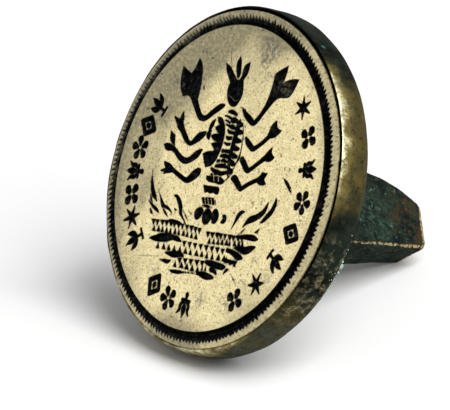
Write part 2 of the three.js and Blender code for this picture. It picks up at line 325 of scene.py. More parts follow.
def engraved_brass():
    """Scraped brass sheet worn pale by use, its cuts left darkly tarnished. Its largest olive-grey patches
    also paint shade, darkening the face towards its top and left, and paler patches in the cuts and a smear
    in the right claw are painted glints. To the eye: cream metal with a soft, nearly even sheen, olive-grey
    patches, flecks, pits and near-black engraving."""
    mix = Paint("engraved_brass", "outside_cut", "cut_depth")
    uneven = mix.ragged(2.2, 1.7)
    smeared = mix.ragged(0.7, 1.3)
    wandering, ring = (
        mix.add("ShaderNodeVectorMath", {0: place}, operation="LENGTH").outputs["Value"]
        for place in (uneven, mix.place)
    )
    # Tarnish towards the rim and in patches. The patches also paint shade on the face's top and left.
    tarnish_and_shade = mix.any_of(mix.ramp(wandering, 12.6, 15.2, 0.0, 0.6), mix.spots(FACE_TARNISH_AND_SHADE, uneven))
    tarnish_and_shade = mix.both(tarnish_and_shade, mix.ramp(mix.cloud(0.36, 6.0), 0.3, 0.7, 0.72, 1.15))
    smudge = mix.both(mix.spots(FACE_SMUDGES, smeared), mix.patches(0.42, 0.38, 0.62, 6.0))
    grain = mix.patches(0.2, 0.42, 0.6, 2.0)
    mottle = mix.patches(0.9, 0.35, 0.7, 4.0)
    flecks = mix.patches(0.3, 0.61, 0.69, 1.0)
    scratches = mix.scratches(24, (7.0, 0.5, 1.0), 1.0, 0.66, 0.72)
    cross_scratches = mix.scratches(-38, (9.0, 0.4, 1.0), 1.0, 0.67, 0.73)
    pits = mix.dots(1.5, 0.05, 0.12, smeared)
    pepper = mix.both(mix.dots(0.8, 0.1, 0.23, mix.ragged(0.25, 0.25)), mix.patches(2.2, 0.48, 0.58, 4.0))
    # A soft darker band over the border's groove and teeth, on the upper left only.
    darker_border = mix.both(mix.ramp(ring, 14.2, 14.35), mix.ramp(ring, 14.5, 15.3, 1.0, 0.0))
    darker_border = mix.both(darker_border, mix.near(*DARKER_BORDER))

    in_cut = mix.both(mix.ramp(mix.given["outside_cut"], -0.02, 0.07, 1.0, 0.0),
                      mix.ramp(mix.given["cut_depth"], 0.0, 0.03, 0.7, 1.0))
    in_cut = mix.both(in_cut, mix.rest(mix.both(mix.ramp(wandering, 14.6, 14.9), mix.near(*FAINT_TEETH))))
    # Painted glints: paler patches in the cuts' dark floor, and a paler smear in the right claw.
    glints = mix.patches(0.5, 0.5, 0.68, 4.0)
    claw_glint = mix.both(mix.near(*CLAW_GLINT), mix.patches(0.4, 0.42, 0.6, 4.0))
    dark = mix.coats("#06080A", ("#322E28", glints, 0.6), ("#6E6856", claw_glint, 0.7))
    colour = mix.coats(
        "#FFF0BA", ("#ECDAA6", mottle), ("#8F835E", grain, 0.33), ("#8C8569", tarnish_and_shade),
        ("#6A6145", flecks, 0.62), ("#7B7152", scratches, 0.2), ("#7B7152", cross_scratches, 0.15),
        ("#504F53", smudge, 0.95), ("#3E3B33", pepper, 0.65), ("#2C2A22", pits, 0.7), ("#3E4044", darker_border),
        (dark, in_cut),
    )
    polished = mix.both(mix.rest(mix.both(tarnish_and_shade, 0.5)), mix.rest(in_cut))
    dull = {"Value": mix.both(0.62, polished, "SUBTRACT"), "To Min": 0.38, "To Max": 0.62}
    relief = mix.both(mix.both(grain, 0.5), pits, "SUBTRACT")
    return mix.finish((relief, 0.02, 0.5), Base_Color=colour, Metallic=1,
                      Roughness=mix.add("ShaderNodeMapRange", dull))


# A tarnished surface hardly shines
TARNISH_GLOSS = 0.01
# Black-green patina that also paints shade: the rim is darkest on its top and lower right, away from the
# lamp's highlight.
BLACK_GREEN_AND_SHADE = (
    ((9.5, 13.5, -1.5), 3.4, 2.4),
    ((1.0, 16.0, -2.0), 5.0, 3.0),
    ((14.6, -6.5, -3.0), 3.4, 2.4),
    ((16.0, -4.0, -2.4), 1.6, 1.6),
)
# Painted reflection: a pale grey sheen low on the disc's side.
GREY_SHEEN = (
    ((6.0, -14.6, -2.6), 3.4, 3.4, 0.8),
    ((-2.0, -15.8, -3.0), 3.0, 3.0, 0.6),
)
SPECKLED = ((13.4, -8.4, -2.0), 2.6, 3.4, 0.62)
MINT_SPOT = ((9.3, 12.95, -1.1), 0.06, 0.3)


def cast_brass():
    """Turned cast brass under an uneven olive to black-green patina, bare and shiny on its crest. Its colour
    also
    paints light: the cream-gold crest strip is paler where the lamp's highlight falls, a thin pale line on
    the rear edge and a grey sheen low down are painted reflections, the black-green is painted shade as well
    on the top and lower right, and the seat's wall is painted dark as shade. To the eye: dark mottled metal
    with a soft shine, and one cream-gold strip where the seal is held."""
    mix = Paint("cast_brass", "wear", "grime")
    uneven = mix.ragged(1.6, 1.6)
    olive = mix.patches(3.5, 0.42, 0.6, 4.0, at=uneven)
    brown = mix.patches(1.3, 0.5, 0.66, 4.0)
    blots = mix.patches(0.7, 0.54, 0.66, 4.0)
    spots = mix.patches(0.4, 0.58, 0.68, 2.0)
    grain = mix.patches(0.2, 0.35, 0.65, 2.0)
    hammered = mix.patches(0.9, 0.3, 0.7, 2.0)
    sheen = mix.both(mix.spots(GREY_SHEEN, uneven), mix.patches(0.8, 0.3, 0.66, 5.0))
    worn_through = mix.both(mix.patches(1.1, 0.44, 0.62, 5.0), mix.patches(0.2, 0.36, 0.6, 3.0))
    worn_through = mix.both(worn_through, mix.any_of(mix.near(*SPECKLED, at=uneven), 0.06))
    rubbed_and_highlight = mix.both(mix.given["wear"], mix.both(1.15, mix.both(grain, 0.4), "SUBTRACT"))

    # Painted light among these coats: the crest's cream coats also stand for the lamp's highlight, the
    # black-green coat also for shade, the grey coat is a painted sheen and the last coat is painted shade in
    # the seat.
    colour = mix.coats(
        "#423C22", ("#2E2D1B", olive), ("#554822", brown, 0.7),
        (mix.coats("#0A0F09", ("#18211B", olive)), mix.spots(BLACK_GREEN_AND_SHADE, uneven)), ("#454A45", sheen),
        ("#8B8162", worn_through), ("#14160E", spots, 0.7), ("#3F7A72", mix.near(*MINT_SPOT)),
        ("#72663A", mix.ramp(rubbed_and_highlight, 0.05, 0.55)), ("#23261F", blots, 0.6),
        ("#D6D1AE", mix.ramp(rubbed_and_highlight, 0.4, 0.95)), ("#1B130B", mix.given["grime"]),
    )
    bare = mix.any_of(rubbed_and_highlight, mix.both(worn_through, 0.3))
    relief = mix.any_of(mix.both(grain, 0.3), mix.both(brown, 0.3), mix.both(hammered, 0.4))
    return mix.finish(
        (relief, 0.06, 0.9), Base_Color=colour, Metallic=mix.ramp(bare, 0.0, 0.8),
        Roughness=mix.ramp(bare, 0.0, 1.0, 0.6, 0.5), Specular_IOR_Level=TARNISH_GLOSS,
    )


RUST_STAIN = ((3.6, 1.6, -22.6), 2.0, 3.0)
GREEN_BLOOM = ((2.6, -0.2, -16.8), 1.0, 2.8)


def patinated_brass():
    """Hammered brass under a dark grey-green patina, bare where its arrises rub in a handle's socket.
    To the eye: nearly black metal with fine paler scratches, rust-brown stains and a broken bright edge."""
    mix = Paint("patinated_brass", "wear")
    uneven = mix.ragged(1.2, 1.6)
    shade = mix.patches(1.3, 0.38, 0.62, 4.0, at=uneven)
    scratches = mix.scratches(0, (3.0, 3.0, 0.35), 0.8, 0.56, 0.66, 3.0)
    grain = mix.patches(0.22, 0.35, 0.65, 2.0)
    stains = mix.both(mix.patches(0.9, 0.46, 0.62, 4.0, at=uneven), mix.near(*RUST_STAIN, at=uneven))
    bloom = mix.both(mix.patches(0.5, 0.46, 0.64, 5.0, at=uneven), mix.near(*GREEN_BLOOM, at=uneven))
    specks = mix.both(mix.patches(0.4, 0.6, 0.7, 2.0), mix.patches(2.2, 0.42, 0.58, 2.0))
    rubbed_and_highlight = mix.ramp(mix.both(mix.given["wear"], mix.cloud(0.34, 6.0)), 0.33, 0.5)
    rubbed_and_highlight = mix.both(rubbed_and_highlight, mix.ramp(mix.cloud(0.16), 0.36, 0.56, 0.35, 1.0))

    colour = mix.coats(
        "#121817", ("#273027", shade), ("#4C5A48", scratches, 0.14), ("#121614", grain, 0.35),
        ("#4A3319", stains, 0.6), ("#4A6A56", bloom, 0.35), ("#6F927D", specks, 0.38), ("#C4AE80", rubbed_and_highlight),
    )
    relief = mix.any_of(mix.both(scratches, 0.5), mix.both(grain, 0.5))
    return mix.finish(
        (relief, 0.04, 0.8), Base_Color=colour, Metallic=mix.ramp(rubbed_and_highlight, 0.0, 0.8),
        Roughness=mix.ramp(rubbed_and_highlight, 0.0, 1.0, 0.6, 0.34), Specular_IOR_Level=TARNISH_GLOSS,
    )


def verdigris():
    """Copper carbonate crumbs from damp. To the eye: dull mint green, powdery and slightly mottled."""
    mix = Paint("verdigris")
    powder = mix.patches(0.15, 0.35, 0.65, 2.0)
    return mix.finish(Base_Color=mix.coats("#86A894", ("#B4CDBC", powder)), Roughness=0.9)


def soft_solder():
    """Tin-lead solder run in warm and left. To the eye: dull grey metal, slightly grainy."""
    mix = Paint("soft_solder")
    grain = mix.patches(0.8, 0.35, 0.65)
    colour = mix.coats("#77797A", ("#9A9C9B", grain))
    return mix.finish((grain, 0.03, 0.5), Base_Color=colour, Metallic=1, Roughness=0.55)


# Graver's cuts, each a shape and a depth. A stroke's rows are x, y and the width there, and an area's are the
# x, y of its closed outline. A ridge is a line of metal left standing in a cut, with rows like a stroke's.

Cut = namedtuple("Cut", "shape depth")

DEEP = 0.45
MEDIUM = 0.36
SHALLOW = 0.3
HAIRLINE = 0.12
SPLINE_STEPS = 5


def smooth_run(knots):
    """Points of a smooth curve through its knots. Each column, such as a width, is carried along."""
    knots = np.array(knots, float)
    if len(knots) < 3:
        return knots
    knots = np.vstack([2 * knots[0] - knots[1], knots, 2 * knots[-1] - knots[-2]])
    t = np.arange(SPLINE_STEPS)[:, None] / SPLINE_STEPS
    spans = []
    for a, b, c, d in zip(knots, knots[1:], knots[2:], knots[3:]):
        bend = t**2 * (a - 2.5 * b + 2 * c - d / 2) + t**3 * (1.5 * (b - c) + (d - a) / 2)
        spans.append(b + t * (c - a) / 2 + bend)
    return np.vstack([*spans, knots[-2:-1]])


def straight(*rows, depth=DEEP):
    """A stroke with sharp turns at its rows."""
    return Cut(np.array(rows, float), depth)


def curved(*rows, depth=DEEP):
    """A stroke that swings smoothly through its rows."""
    rows = smooth_run(rows)
    rows[:, 2] = rows[:, 2].clip(0.02)
    return Cut(rows, depth)


def area(*runs, depth=DEEP):
    """A cleared area. Each run starts at a sharp corner and swings on to the next run's corner."""
    ends = [*runs[1:], runs[0]]
    outline = [smooth_run([*run, after[0]])[:-1] for run, after in zip(runs, ends)]
    return Cut(np.vstack(outline), depth)


def triangle(a, b, c):
    """A shallow cleared area with three corners."""
    return area([a], [b], [c], depth=SHALLOW)


def claws():
    """Open claws with a notch between their fingers, each on a bent arm."""
    left = area(
        [(-8.05, 9.8), (-8.1, 8.9), (-7.9, 7.9)],
        [(-7.35, 7.1), (-6.5, 7.2), (-5.95, 6.8), (-5.25, 6.8), (-5.1, 7.7), (-5.15, 9.0), (-5.45, 10.1)],
        [(-6.0, 10.7), (-6.3, 9.9)],
        [(-6.75, 9.2), (-7.4, 9.5)],
    )
    right = area(
        [(6.45, 10.9), (5.7, 10.55), (4.9, 10.0), (4.8, 9.2), (4.6, 8.0), (4.35, 7.1), (4.9, 6.95),
         (5.4, 7.5), (6.0, 7.9), (7.2, 8.05), (7.75, 8.6)],
        [(8.25, 9.75), (7.3, 9.7), (6.45, 9.45)],
        [(6.1, 9.15), (6.35, 9.9)],
    )
    arms = [
        curved((-5.6, 6.9, 0.75), (-4.95, 6.05, 0.62), (-4.4, 5.45, 0.6), (-3.9, 5.3, 0.52), (-3.4, 5.4, 0.5),
               (-2.6, 6.0, 0.55), (-1.8, 6.5, 0.55), (-1.3, 6.65, 0.2)),
        curved((1.3, 6.5, 0.1), (1.9, 6.05, 0.5), (2.6, 5.65, 0.6), (3.15, 5.38, 0.5), (3.7, 5.8, 0.5),
               (4.2, 6.45, 0.5), (4.75, 7.25, 0.65)),
        curved((1.0, 6.68, 0.1), (1.4, 6.6, 0.16), (1.8, 6.4, 0.1), depth=HAIRLINE),
    ]
    return [left, right, *arms]


def head():
    """A round head with two feelers and a middle spine, set off from it by a thin line."""
    skull = area(
        [(-2.2, 10.55), (-2.0, 9.95)],
        [(-1.15, 8.8), (-1.3, 8.3), (-1.3, 7.8), (-0.95, 7.1), (-0.5, 6.72), (0, 6.65), (0.4, 6.85),
         (0.8, 7.5), (0.87, 8.2)],
        [(0.65, 9.2), (1.0, 9.7), (1.15, 10.3)],
        [(1.1, 10.85), (0.5, 10.5), (0.32, 10.0), (0.3, 9.5), (0.05, 9.12), (-0.3, 9.15), (-0.7, 9.5),
         (-1.4, 10.15)],
    )
    spine = area(
        [(-0.4, 11.3), (-0.72, 10.6), (-0.6, 9.9), (-0.35, 9.4), (-0.05, 9.28), (0.08, 9.7), (0, 10.3),
         (-0.15, 10.9)],
    )
    return [skull, spine]


def legs():
    """Three bent legs on each side, thick at the body, with open feet."""
    limbs = [
        [(-6.9, 4.5, 0.85), (-6.35, 3.9, 0.6), (-5.75, 3.3, 0.55), (-5.3, 2.95, 0.45), (-4.85, 2.88, 0.4),
         (-4.4, 3.2, 0.6), (-3.9, 3.55, 0.75), (-3.35, 3.85, 0.5), (-3.1, 4.05, 0.1)],
        [(-8.6, 2.5, 0.06), (-8.05, 2.33, 0.65), (-7.4, 2.25, 0.5), (-6.9, 2.05, 0.45), (-6.3, 1.65, 0.5),
         (-5.6, 1.3, 0.55), (-5.0, 1.25, 0.55), (-4.4, 1.5, 0.6), (-3.9, 1.85, 0.7), (-3.5, 2.15, 0.5),
         (-3.2, 2.4, 0.15)],
        [(-7.3, 0.35, 0.9), (-6.7, 0.25, 0.45), (-6.0, 0, 0.4), (-5.3, -0.3, 0.42), (-4.7, -0.5, 0.45),
         (-4.2, -0.4, 0.65), (-3.6, 0.05, 0.85), (-3.15, 0.35, 0.75), (-2.9, 0.5, 0.3)],
        [(2.55, 3.9, 0.3), (2.9, 3.6, 0.55), (3.4, 3.25, 0.55), (3.8, 3.05, 0.5), (4.3, 3.25, 0.45),
         (5.0, 3.75, 0.42), (5.5, 4.15, 0.42), (5.8, 4.45, 0.5)],
        [(2.6, 1.95, 0.6), (3.0, 1.6, 0.65), (3.4, 1.2, 0.6), (3.8, 1.05, 0.45), (4.5, 1.5, 0.4),
         (5.2, 2.0, 0.42), (5.6, 2.3, 0.5)],
        [(1.75, 0.15, 0.35), (2.1, 0.15, 0.7), (2.6, -0.25, 0.65), (3.0, -0.6, 0.55), (3.25, -0.75, 0.35),
         (3.6, -0.5, 0.4), (4.2, -0.15, 0.4), (4.9, 0.15, 0.4), (5.3, 0.3, 0.4)],
    ]
    toes = [
        straight((-6.95, 4.55, 0.8), (-7.95, 5.15, 0.06)),
        straight((-6.8, 4.6, 0.65), (-6.8, 5.2, 0.5), (-6.75, 5.7, 0.06)),
        straight((-7.4, 0.4, 0.9), (-8.0, 0.85, 0.25)),
        straight((-7.4, 0.2, 0.5), (-7.85, -0.12, 0.15)),
        straight((-7.6, 0.2, 0.5), (-8.35, 0.1, 0.15), depth=HAIRLINE),
    ]
    feet = [
        area([(-8.05, 3.85)], [(-7.3, 3.45)], [(-7.05, 2.4), (-7.9, 3.0)]),
        area([(5.45, 4.5), (5.75, 5.35)], [(6.35, 5.9), (6.5, 5.35), (6.75, 5.1)],
             [(7.25, 4.98), (6.85, 4.6), (6.4, 4.28), (5.7, 4.2)]),
        area([(5.4, 2.4), (5.9, 2.95)], [(6.45, 3.45), (6.5, 2.85)],
             [(7.0, 2.5), (6.7, 2.2), (6.2, 2.05), (5.6, 2.15)]),
        area([(5.1, 0.45), (5.5, 0.7)], [(5.7, 1.05)], [(6.5, 1.0), (6.2, 0.4)],
             [(6.55, 0), (5.8, -0.15), (5.2, 0.1)]),
    ]
    return [*[curved(*rows, depth=MEDIUM) for rows in limbs], *toes, *feet]


def shell():
    """Two dark flanks, toothed along their outer sides, with a ladder of bars between them."""
    left = area(
        [(-1.95, 5.6), (-1.3, 5.5), (-0.8, 5.0), (-0.5, 4.3), (-0.5, 3.4), (-0.68, 2.4), (-1.05, 1.55),
         (-1.5, 1.1)],
        [(-2.25, 0.85), (-2.6, 1.35)],
        [(-2.98, 2.05), (-2.4, 2.3)],
        [(-1.5, 2.45), (-1.7, 2.75)],
        [(-2.15, 3.1)],
        [(-1.2, 3.3), (-1.9, 3.45)],
        [(-2.35, 3.8), (-1.9, 3.98)],
        [(-1.25, 4.05), (-1.6, 4.25)],
        [(-2.05, 4.62), (-1.7, 4.72)],
        [(-1.4, 4.9), (-1.7, 5.12)],
    )
    crescents = [
        curved((-2.15, 5.3, 0.12), (-2.45, 4.8, 0.5), (-2.7, 4.35, 0.3)),
        curved((-2.45, 4.15, 0.3), (-2.7, 3.85, 0.62), (-2.5, 3.5, 0.2)),
    ]
    right = curved((1.3, 5.6, 0.06), (1.2, 5.1, 0.5), (1.1, 4.3, 0.6), (0.98, 3.4, 0.55), (0.9, 2.6, 0.5),
                   (0.85, 1.8, 0.45), (0.95, 1.1, 0.4), (1.05, 0.5, 0.3), (1.1, 0.2, 0.08))
    tips = ((5.1, 1.7), (4.42, 1.95), (3.62, 1.9), (2.9, 1.85), (2.18, 1.8), (1.5, 1.6), (0.75, 1.4))
    lobes = [curved((1.1, y + 0.08, 0.5), (1.45, y, 0.48), (tip, y - 0.03, 0.26)) for y, tip in tips]
    rim = curved((1.75, 5.2, 0.06), (1.95, 4.7, 0.08), (2.1, 4.1, 0.1), (2.2, 3.4, 0.1), (2.22, 2.7, 0.1),
                 (2.12, 2.1, 0.24), (1.9, 1.6, 0.14), (1.7, 1.2, 0.1), (1.5, 0.7, 0.1), (1.3, 0.3, 0.1),
                 (0.9, -0.1, 0.1), (0.6, -0.3, 0.06), depth=0.2)
    return [left, *crescents, right, *lobes, rim, *ladder()]


LADDER_BOLD = 0.03


def ladder():
    """Bars across the middle of the shell, cut one by one and none quite like the next."""
    bars = [
        [(-0.55, 6.15, 0.1), (-0.1, 6.17, 0.34), (0.4, 6.05, 0.3), (0.75, 5.93, 0.12)],
        [(0.1, 5.4, 0.34), (0.45, 5.42, 0.52), (0.82, 5.4, 0.3)],
        [(-0.9, 5.75, 0.08), (-0.4, 5.68, 0.14), (0.1, 5.5, 0.2)],
        [(-0.75, 5.35, 0.06), (-0.3, 5.25, 0.12), (0.0, 5.1, 0.08)],
        [(0.05, 4.82, 0.22), (0.4, 4.8, 0.4), (0.75, 4.72, 0.24)],
        [(-0.6, 5.0, 0.06), (-0.3, 4.92, 0.14), (0.05, 4.85, 0.2)],
        [(-0.2, 4.5, 0.1), (0.1, 4.3, 0.26), (0.7, 4.25, 0.24)],
        [(-0.15, 3.82, 0.2), (0.1, 3.72, 0.3), (0.52, 3.78, 0.28)],
        [(-0.3, 3.3, 0.1), (0.1, 3.17, 0.22), (0.5, 3.22, 0.2)],
        [(-0.35, 2.55, 0.3), (-0.2, 2.5, 0.24)],
        [(0.0, 2.55, 0.24), (0.3, 2.55, 0.3), (0.62, 2.55, 0.3)],
        [(-0.5, 2.05, 0.14), (0.0, 2.1, 0.34), (0.6, 2.08, 0.3)],
        [(-0.75, 1.55, 0.24), (-0.5, 1.6, 0.22)],
        [(-0.2, 1.62, 0.2), (0.1, 1.68, 0.24), (0.55, 1.6, 0.2)],
        [(-0.85, 1.1, 0.22), (-0.2, 1.15, 0.34), (0.3, 1.18, 0.34), (0.7, 1.1, 0.2)],
        [(-1.4, 0.82, 0.2), (-0.8, 0.62, 0.34), (0, 0.48, 0.36), (0.7, 0.6, 0.3)],
        [(-1.3, 0.32, 0.1), (-1.1, 0.28, 0.2)],
        [(-0.75, 0.38, 0.16), (-0.6, 0.33, 0.1)],
    ]
    return [curved(*[(x, y, width + LADDER_BOLD) for x, y, width in rows], depth=SHALLOW) for rows in bars]


def tail():
    """Three ringed joints over a fan of three lobes."""
    joints = [
        curved((-1.7, -0.05, 0.36), (-1.2, -0.15, 0.56), (-0.5, -0.12, 0.6), (0.1, -0.2, 0.66),
               (0.5, -0.25, 0.4)),
        area([(-2.02, -0.75), (-1.2, -0.8), (-0.6, -0.78), (0.05, -0.8)], [(0.3, -1.0), (0.25, -1.4)],
             [(-0.1, -1.48), (-0.5, -1.36), (-0.95, -1.42), (-1.3, -1.32), (-1.6, -1.42), (-1.85, -1.15)]),
        area([(-1.95, -1.9), (-1.2, -1.86), (-0.4, -1.82)], [(0.05, -2.0)], [(0.25, -2.45), (-0.2, -2.42),
             (-0.8, -2.4), (-1.55, -2.42)]),
        curved((-1.6, -2.62, 0.08), (-0.9, -2.65, 0.22), (-0.2, -2.7, 0.05)),
    ]
    fan = [
        curved((-2.05, -3.6, 0.7), (-2.0, -3.4, 1.0), (-1.75, -3.2, 0.8), (-1.5, -3.1, 0.4)),
        curved((-0.7, -3.3, 0.95), (-0.72, -3.6, 1.3), (-0.75, -3.85, 0.9)),
        curved((0.38, -3.15, 0.75), (0.42, -3.45, 1.05), (0.42, -3.75, 0.8)),
        curved((1.55, -3.35, 0.24), (1.8, -3.5, 0.5), (1.72, -3.78, 0.46), (1.35, -3.92, 0.1)),
    ]
    return joints + fan


def standing_metal():
    """Thin ridges between the graver's passes: round the spine, across the head and on the tail's joints."""
    ridges = [
        [(-0.62, 9.8, 0.07), (-0.42, 9.3, 0.08), (-0.12, 9.18, 0.09), (0.14, 9.36, 0.08), (0.16, 9.8, 0.05)],
        [(-0.9, 7.62, 0.02), (-0.5, 7.45, 0.05), (0.0, 7.18, 0.05), (0.45, 7.3, 0.02)],
        *[[(x, 0.08, 0.01), (x + 0.15, -0.3, 0.01)] for x in (-0.85, -0.2)],
        *[[(x, -1.95, 0.01), (x + 0.26, -2.4, 0.01)] for x in (-1.5, -1.05, -0.6, -0.15)],
        [(-2.5, 4.05, 0.04), (-2.15, 4.2, 0.06), (-1.9, 4.2, 0.03)],
    ]
    return [smooth_run(rows) for rows in ridges]


def reeds():
    """Bent reeds on both banks, each cut in one pull of the graver."""
    pulls = [
        [(-9.48, 0.1, 0.05), (-9.35, -0.6, 0.15), (-9.15, -1.3, 0.4), (-8.8, -2.0, 0.5), (-8.5, -2.3, 0.4),
         (-8.05, -2.75, 0.05)],
        [(-9.05, -2.3, 0.1), (-8.9, -2.6, 0.2), (-8.6, -2.95, 0.05)],
        [(-9.2, -2.75, 0.05), (-8.6, -3.15, 0.22), (-7.9, -3.5, 0.3), (-7.4, -3.8, 0.06)],
        [(-8.8, -3.5, 0.08), (-8.55, -3.75, 0.25), (-8.25, -3.95, 0.05)],
        [(-8.15, -1.65, 0.04), (-7.75, -2.2, 0.12), (-7.4, -2.7, 0.3), (-7.1, -3.05, 0.42), (-6.9, -3.1, 0.3),
         (-6.3, -3.25, 0.25), (-5.6, -3.65, 0.05)],
        [(-7.0, -3.35, 0.1), (-6.6, -3.65, 0.2), (-6.15, -4.0, 0.05)],
        [(-5.75, -2.05, 0.12), (-5.4, -2.1, 0.3), (-4.95, -2.45, 0.5), (-4.6, -3.0, 0.5), (-4.45, -3.5, 0.4),
         (-4.1, -3.85, 0.2), (-3.4, -4.5, 0.06)],
        [(-4.1, -3.3, 0.04), (-3.7, -3.7, 0.1), (-3.2, -4.15, 0.04)],
        [(-3.4, -3.25, 0.06), (-3.15, -3.42, 0.08), (-2.9, -3.6, 0.04)],
        [(-5.35, -3.25, 0.12), (-5.1, -3.35, 0.1)],
        [(4.4, -2.72, 0.06), (4.0, -2.8, 0.36), (3.65, -3.1, 0.42), (3.4, -3.6, 0.3), (3.1, -4.2, 0.1),
         (3.0, -4.45, 0.04)],
        [(7.4, -1.55, 0.05), (7.25, -2.0, 0.3), (6.9, -2.55, 0.5), (6.2, -3.05, 0.55), (5.4, -3.35, 0.6),
         (4.9, -3.7, 0.35), (4.5, -4.15, 0.06)],
        [(8.3, -1.1, 0.06), (8.35, -1.6, 0.4), (8.1, -2.3, 0.5), (7.6, -2.85, 0.5), (7.1, -3.35, 0.3),
         (6.75, -3.55, 0.06)],
        [(6.3, -4.42, 0.06), (6.6, -4.35, 0.22), (6.85, -4.1, 0.08)],
        [(4.9, -4.25, 0.05), (4.5, -4.55, 0.12), (4.1, -4.85, 0.08)],
    ]
    return [curved(*rows, depth=MEDIUM) for rows in pulls]


# A wedge's height, how far its flat end slopes, and how far its point leans as a share of its width
WAVE_HIGH = 0.56
WAVE_SLOPE = 0.03
HANGING_LEAN = 0.2
STANDING_LEAN = -0.1
SWELL_DEPTH = 0.38
# How far the hand is off: along a row, across it and as a share of a wedge's width
HAND_OFF = (0.12, 0.04, 0.3)


def wave_row(hanging, standing):
    """A row of waves: wedges hang from its top edge between wedges that stand on its bottom edge.
    Each list holds x, y and the width of a wedge's flat end."""
    wedges = []
    for places, up, lean in ((hanging, -1, HANGING_LEAN), (standing, 1, STANDING_LEAN)):
        for x, y, width in places:
            flat_end = (x - width / 2, y), (x + width / 2, y - up * WAVE_SLOPE)
            wedges.append(triangle(*flat_end, (x + lean * width, y + up * WAVE_HIGH)))
    return wedges


def evenly(first, last, count, width):
    """Places for wedges from one x, y to another, with the small differences of a hand."""
    places = []
    for i, (x, y) in enumerate(np.linspace(first, last, count)):
        along, across, wider = noise.noise(Vector((3.7 * i, x, y))) * np.array(HAND_OFF)
        places.append((x + along, y + across, width * (1 + wider)))
    return places


def water():
    """Three rows of waves, with long dark swells between and beside them."""
    rows = (
        (evenly((-7.95, -4.42), (-5.55, -4.38), 5, 0.62), evenly((-7.65, -5.45), (-4.65, -5.5), 6, 0.5)),
        (evenly((-4.95, -4.42), (-1.35, -4.7), 7, 0.62), evenly((-4.05, -5.52), (-1.65, -5.72), 5, 0.5)),
        (evenly((-0.1, -4.95), (4.74, -4.98), 9, 0.62), evenly((0.39, -5.97), (5.03, -5.88), 9, 0.5)),
        (evenly((-3.1, -6.05), (2.4, -6.28), 8, 0.64), evenly((-6.63, -6.98), (2.8, -7.4), 13, 0.58)),
        ([], evenly((3.2, -7.5), (4.5, -7.72), 3, 0.5)),
        (evenly((-3.3, -7.62), (-0.1, -7.62), 5, 0.66), evenly((-3.7, -8.45), (-0.5, -8.7), 5, 0.6)),
        ([], [(0.1, -8.5, 0.3), (0.55, -8.5, 0.3)]),
    )
    waves = [wedge for hanging, standing in rows for wedge in wave_row(hanging, standing)]
    swells = [
        [(-6.0, -4.42, 0.1), (-5.5, -4.36, 0.3), (-4.5, -4.46, 0.3), (-3.9, -4.56, 0.1)],
        [(3.7, -5.04, 0.1), (4.4, -5.02, 0.3), (5.0, -4.95, 0.4), (5.8, -4.95, 0.52), (6.4, -5.0, 0.5),
         (6.95, -5.05, 0.08)],
        [(-8.05, -6.15, 0.06), (-7.3, -6.1, 0.5), (-6.5, -5.98, 0.78), (-5.5, -5.9, 0.7), (-4.8, -5.85, 0.45),
         (-4.1, -5.95, 0.42), (-3.6, -6.1, 0.15)],
        [(-5.55, -7.3, 0.05), (-4.9, -7.35, 0.35), (-4.2, -7.35, 0.62), (-3.3, -7.3, 0.42),
         (-2.85, -7.45, 0.15)],
        [(-6.05, -8.0, 0.06), (-5.4, -8.05, 0.28), (-4.9, -8.1, 0.3), (-4.5, -7.95, 0.1)],
        [(-4.5, -8.85, 0.06), (-3.8, -8.92, 0.3), (-3.0, -8.9, 0.3), (-2.4, -8.88, 0.14),
         (-0.9, -8.83, 0.08)],
        [(-0.7, -8.85, 0.1), (-0.1, -8.8, 0.42), (0.8, -8.95, 0.62), (1.5, -9.0, 0.4), (1.9, -9.05, 0.12)],
        [(0.4, -7.65, 0.3), (1.0, -7.75, 0.55), (1.9, -7.85, 0.58), (2.7, -7.95, 0.55), (3.15, -7.9, 0.2)],
        [(3.0, -6.35, 0.35), (3.8, -6.5, 0.45), (4.6, -6.8, 0.6), (5.25, -6.95, 0.2)],
        [(3.8, -6.05, 0.08), (4.6, -6.1, 0.45), (5.4, -6.2, 0.7), (6.1, -6.0, 0.6), (6.75, -5.75, 0.15)],
        [(1.1, -8.3, 0.1), (1.3, -8.3, 0.4), (1.8, -8.4, 0.36), (2.15, -8.62, 0.2)],
        [(3.1, -8.55, 0.08), (3.4, -8.2, 0.3), (3.7, -8.1, 0.08)],
        [(2.9, -7.2, 0.2), (3.6, -7.35, 0.3), (4.3, -7.4, 0.3), (4.7, -7.3, 0.1)],
    ]
    return waves + [curved(*rows, depth=SWELL_DEPTH) for rows in swells]


def slips():
    """Marks where the graver or something hard slipped on the field."""
    marks = [
        [(-4.65, 8.3, 0.06), (-4.62, 8.05, 0.2), (-4.55, 7.85, 0.06)],
        [(-4.2, 10.85, 0.14), (-4.1, 10.8, 0.14)],
        [(-5.8, 0.62, 0.12), (-5.7, 0.58, 0.14)],
        [(1.15, 9.5, 0.1), (1.25, 9.42, 0.12)],
        [(-1.8, 11.9, 0.04), (-1.6, 11.0, 0.09), (-1.3, 10.2, 0.05)],
        [(8.75, 0.75, 0.08), (9.3, 0.35, 0.34), (9.9, -0.25, 0.22), (10.3, -0.6, 0.06)],
        [(9.3, 0.6, 0.04), (9.9, 0.0, 0.14), (10.2, -0.3, 0.05)],
        [(4.9, -1.6, 0.04), (5.2, -1.85, 0.1), (5.45, -1.7, 0.04)],
        [(-9.0, -7.85, 0.02), (-7.5, -7.8, 0.03), (-6.3, -7.72, 0.02)],
        [(4.2, -8.5, 0.04), (4.7, -9.0, 0.14), (5.1, -9.25, 0.06)],
        [(5.6, -8.9, 0.05), (6.2, -9.1, 0.12), (6.5, -9.4, 0.04)],
    ]
    return [curved(*rows, depth=HAIRLINE) for rows in marks]


# Ornaments in the legend band, each drawn upright round its own middle. A run of them has the first one's
# degrees, the step to the next and how many there are.

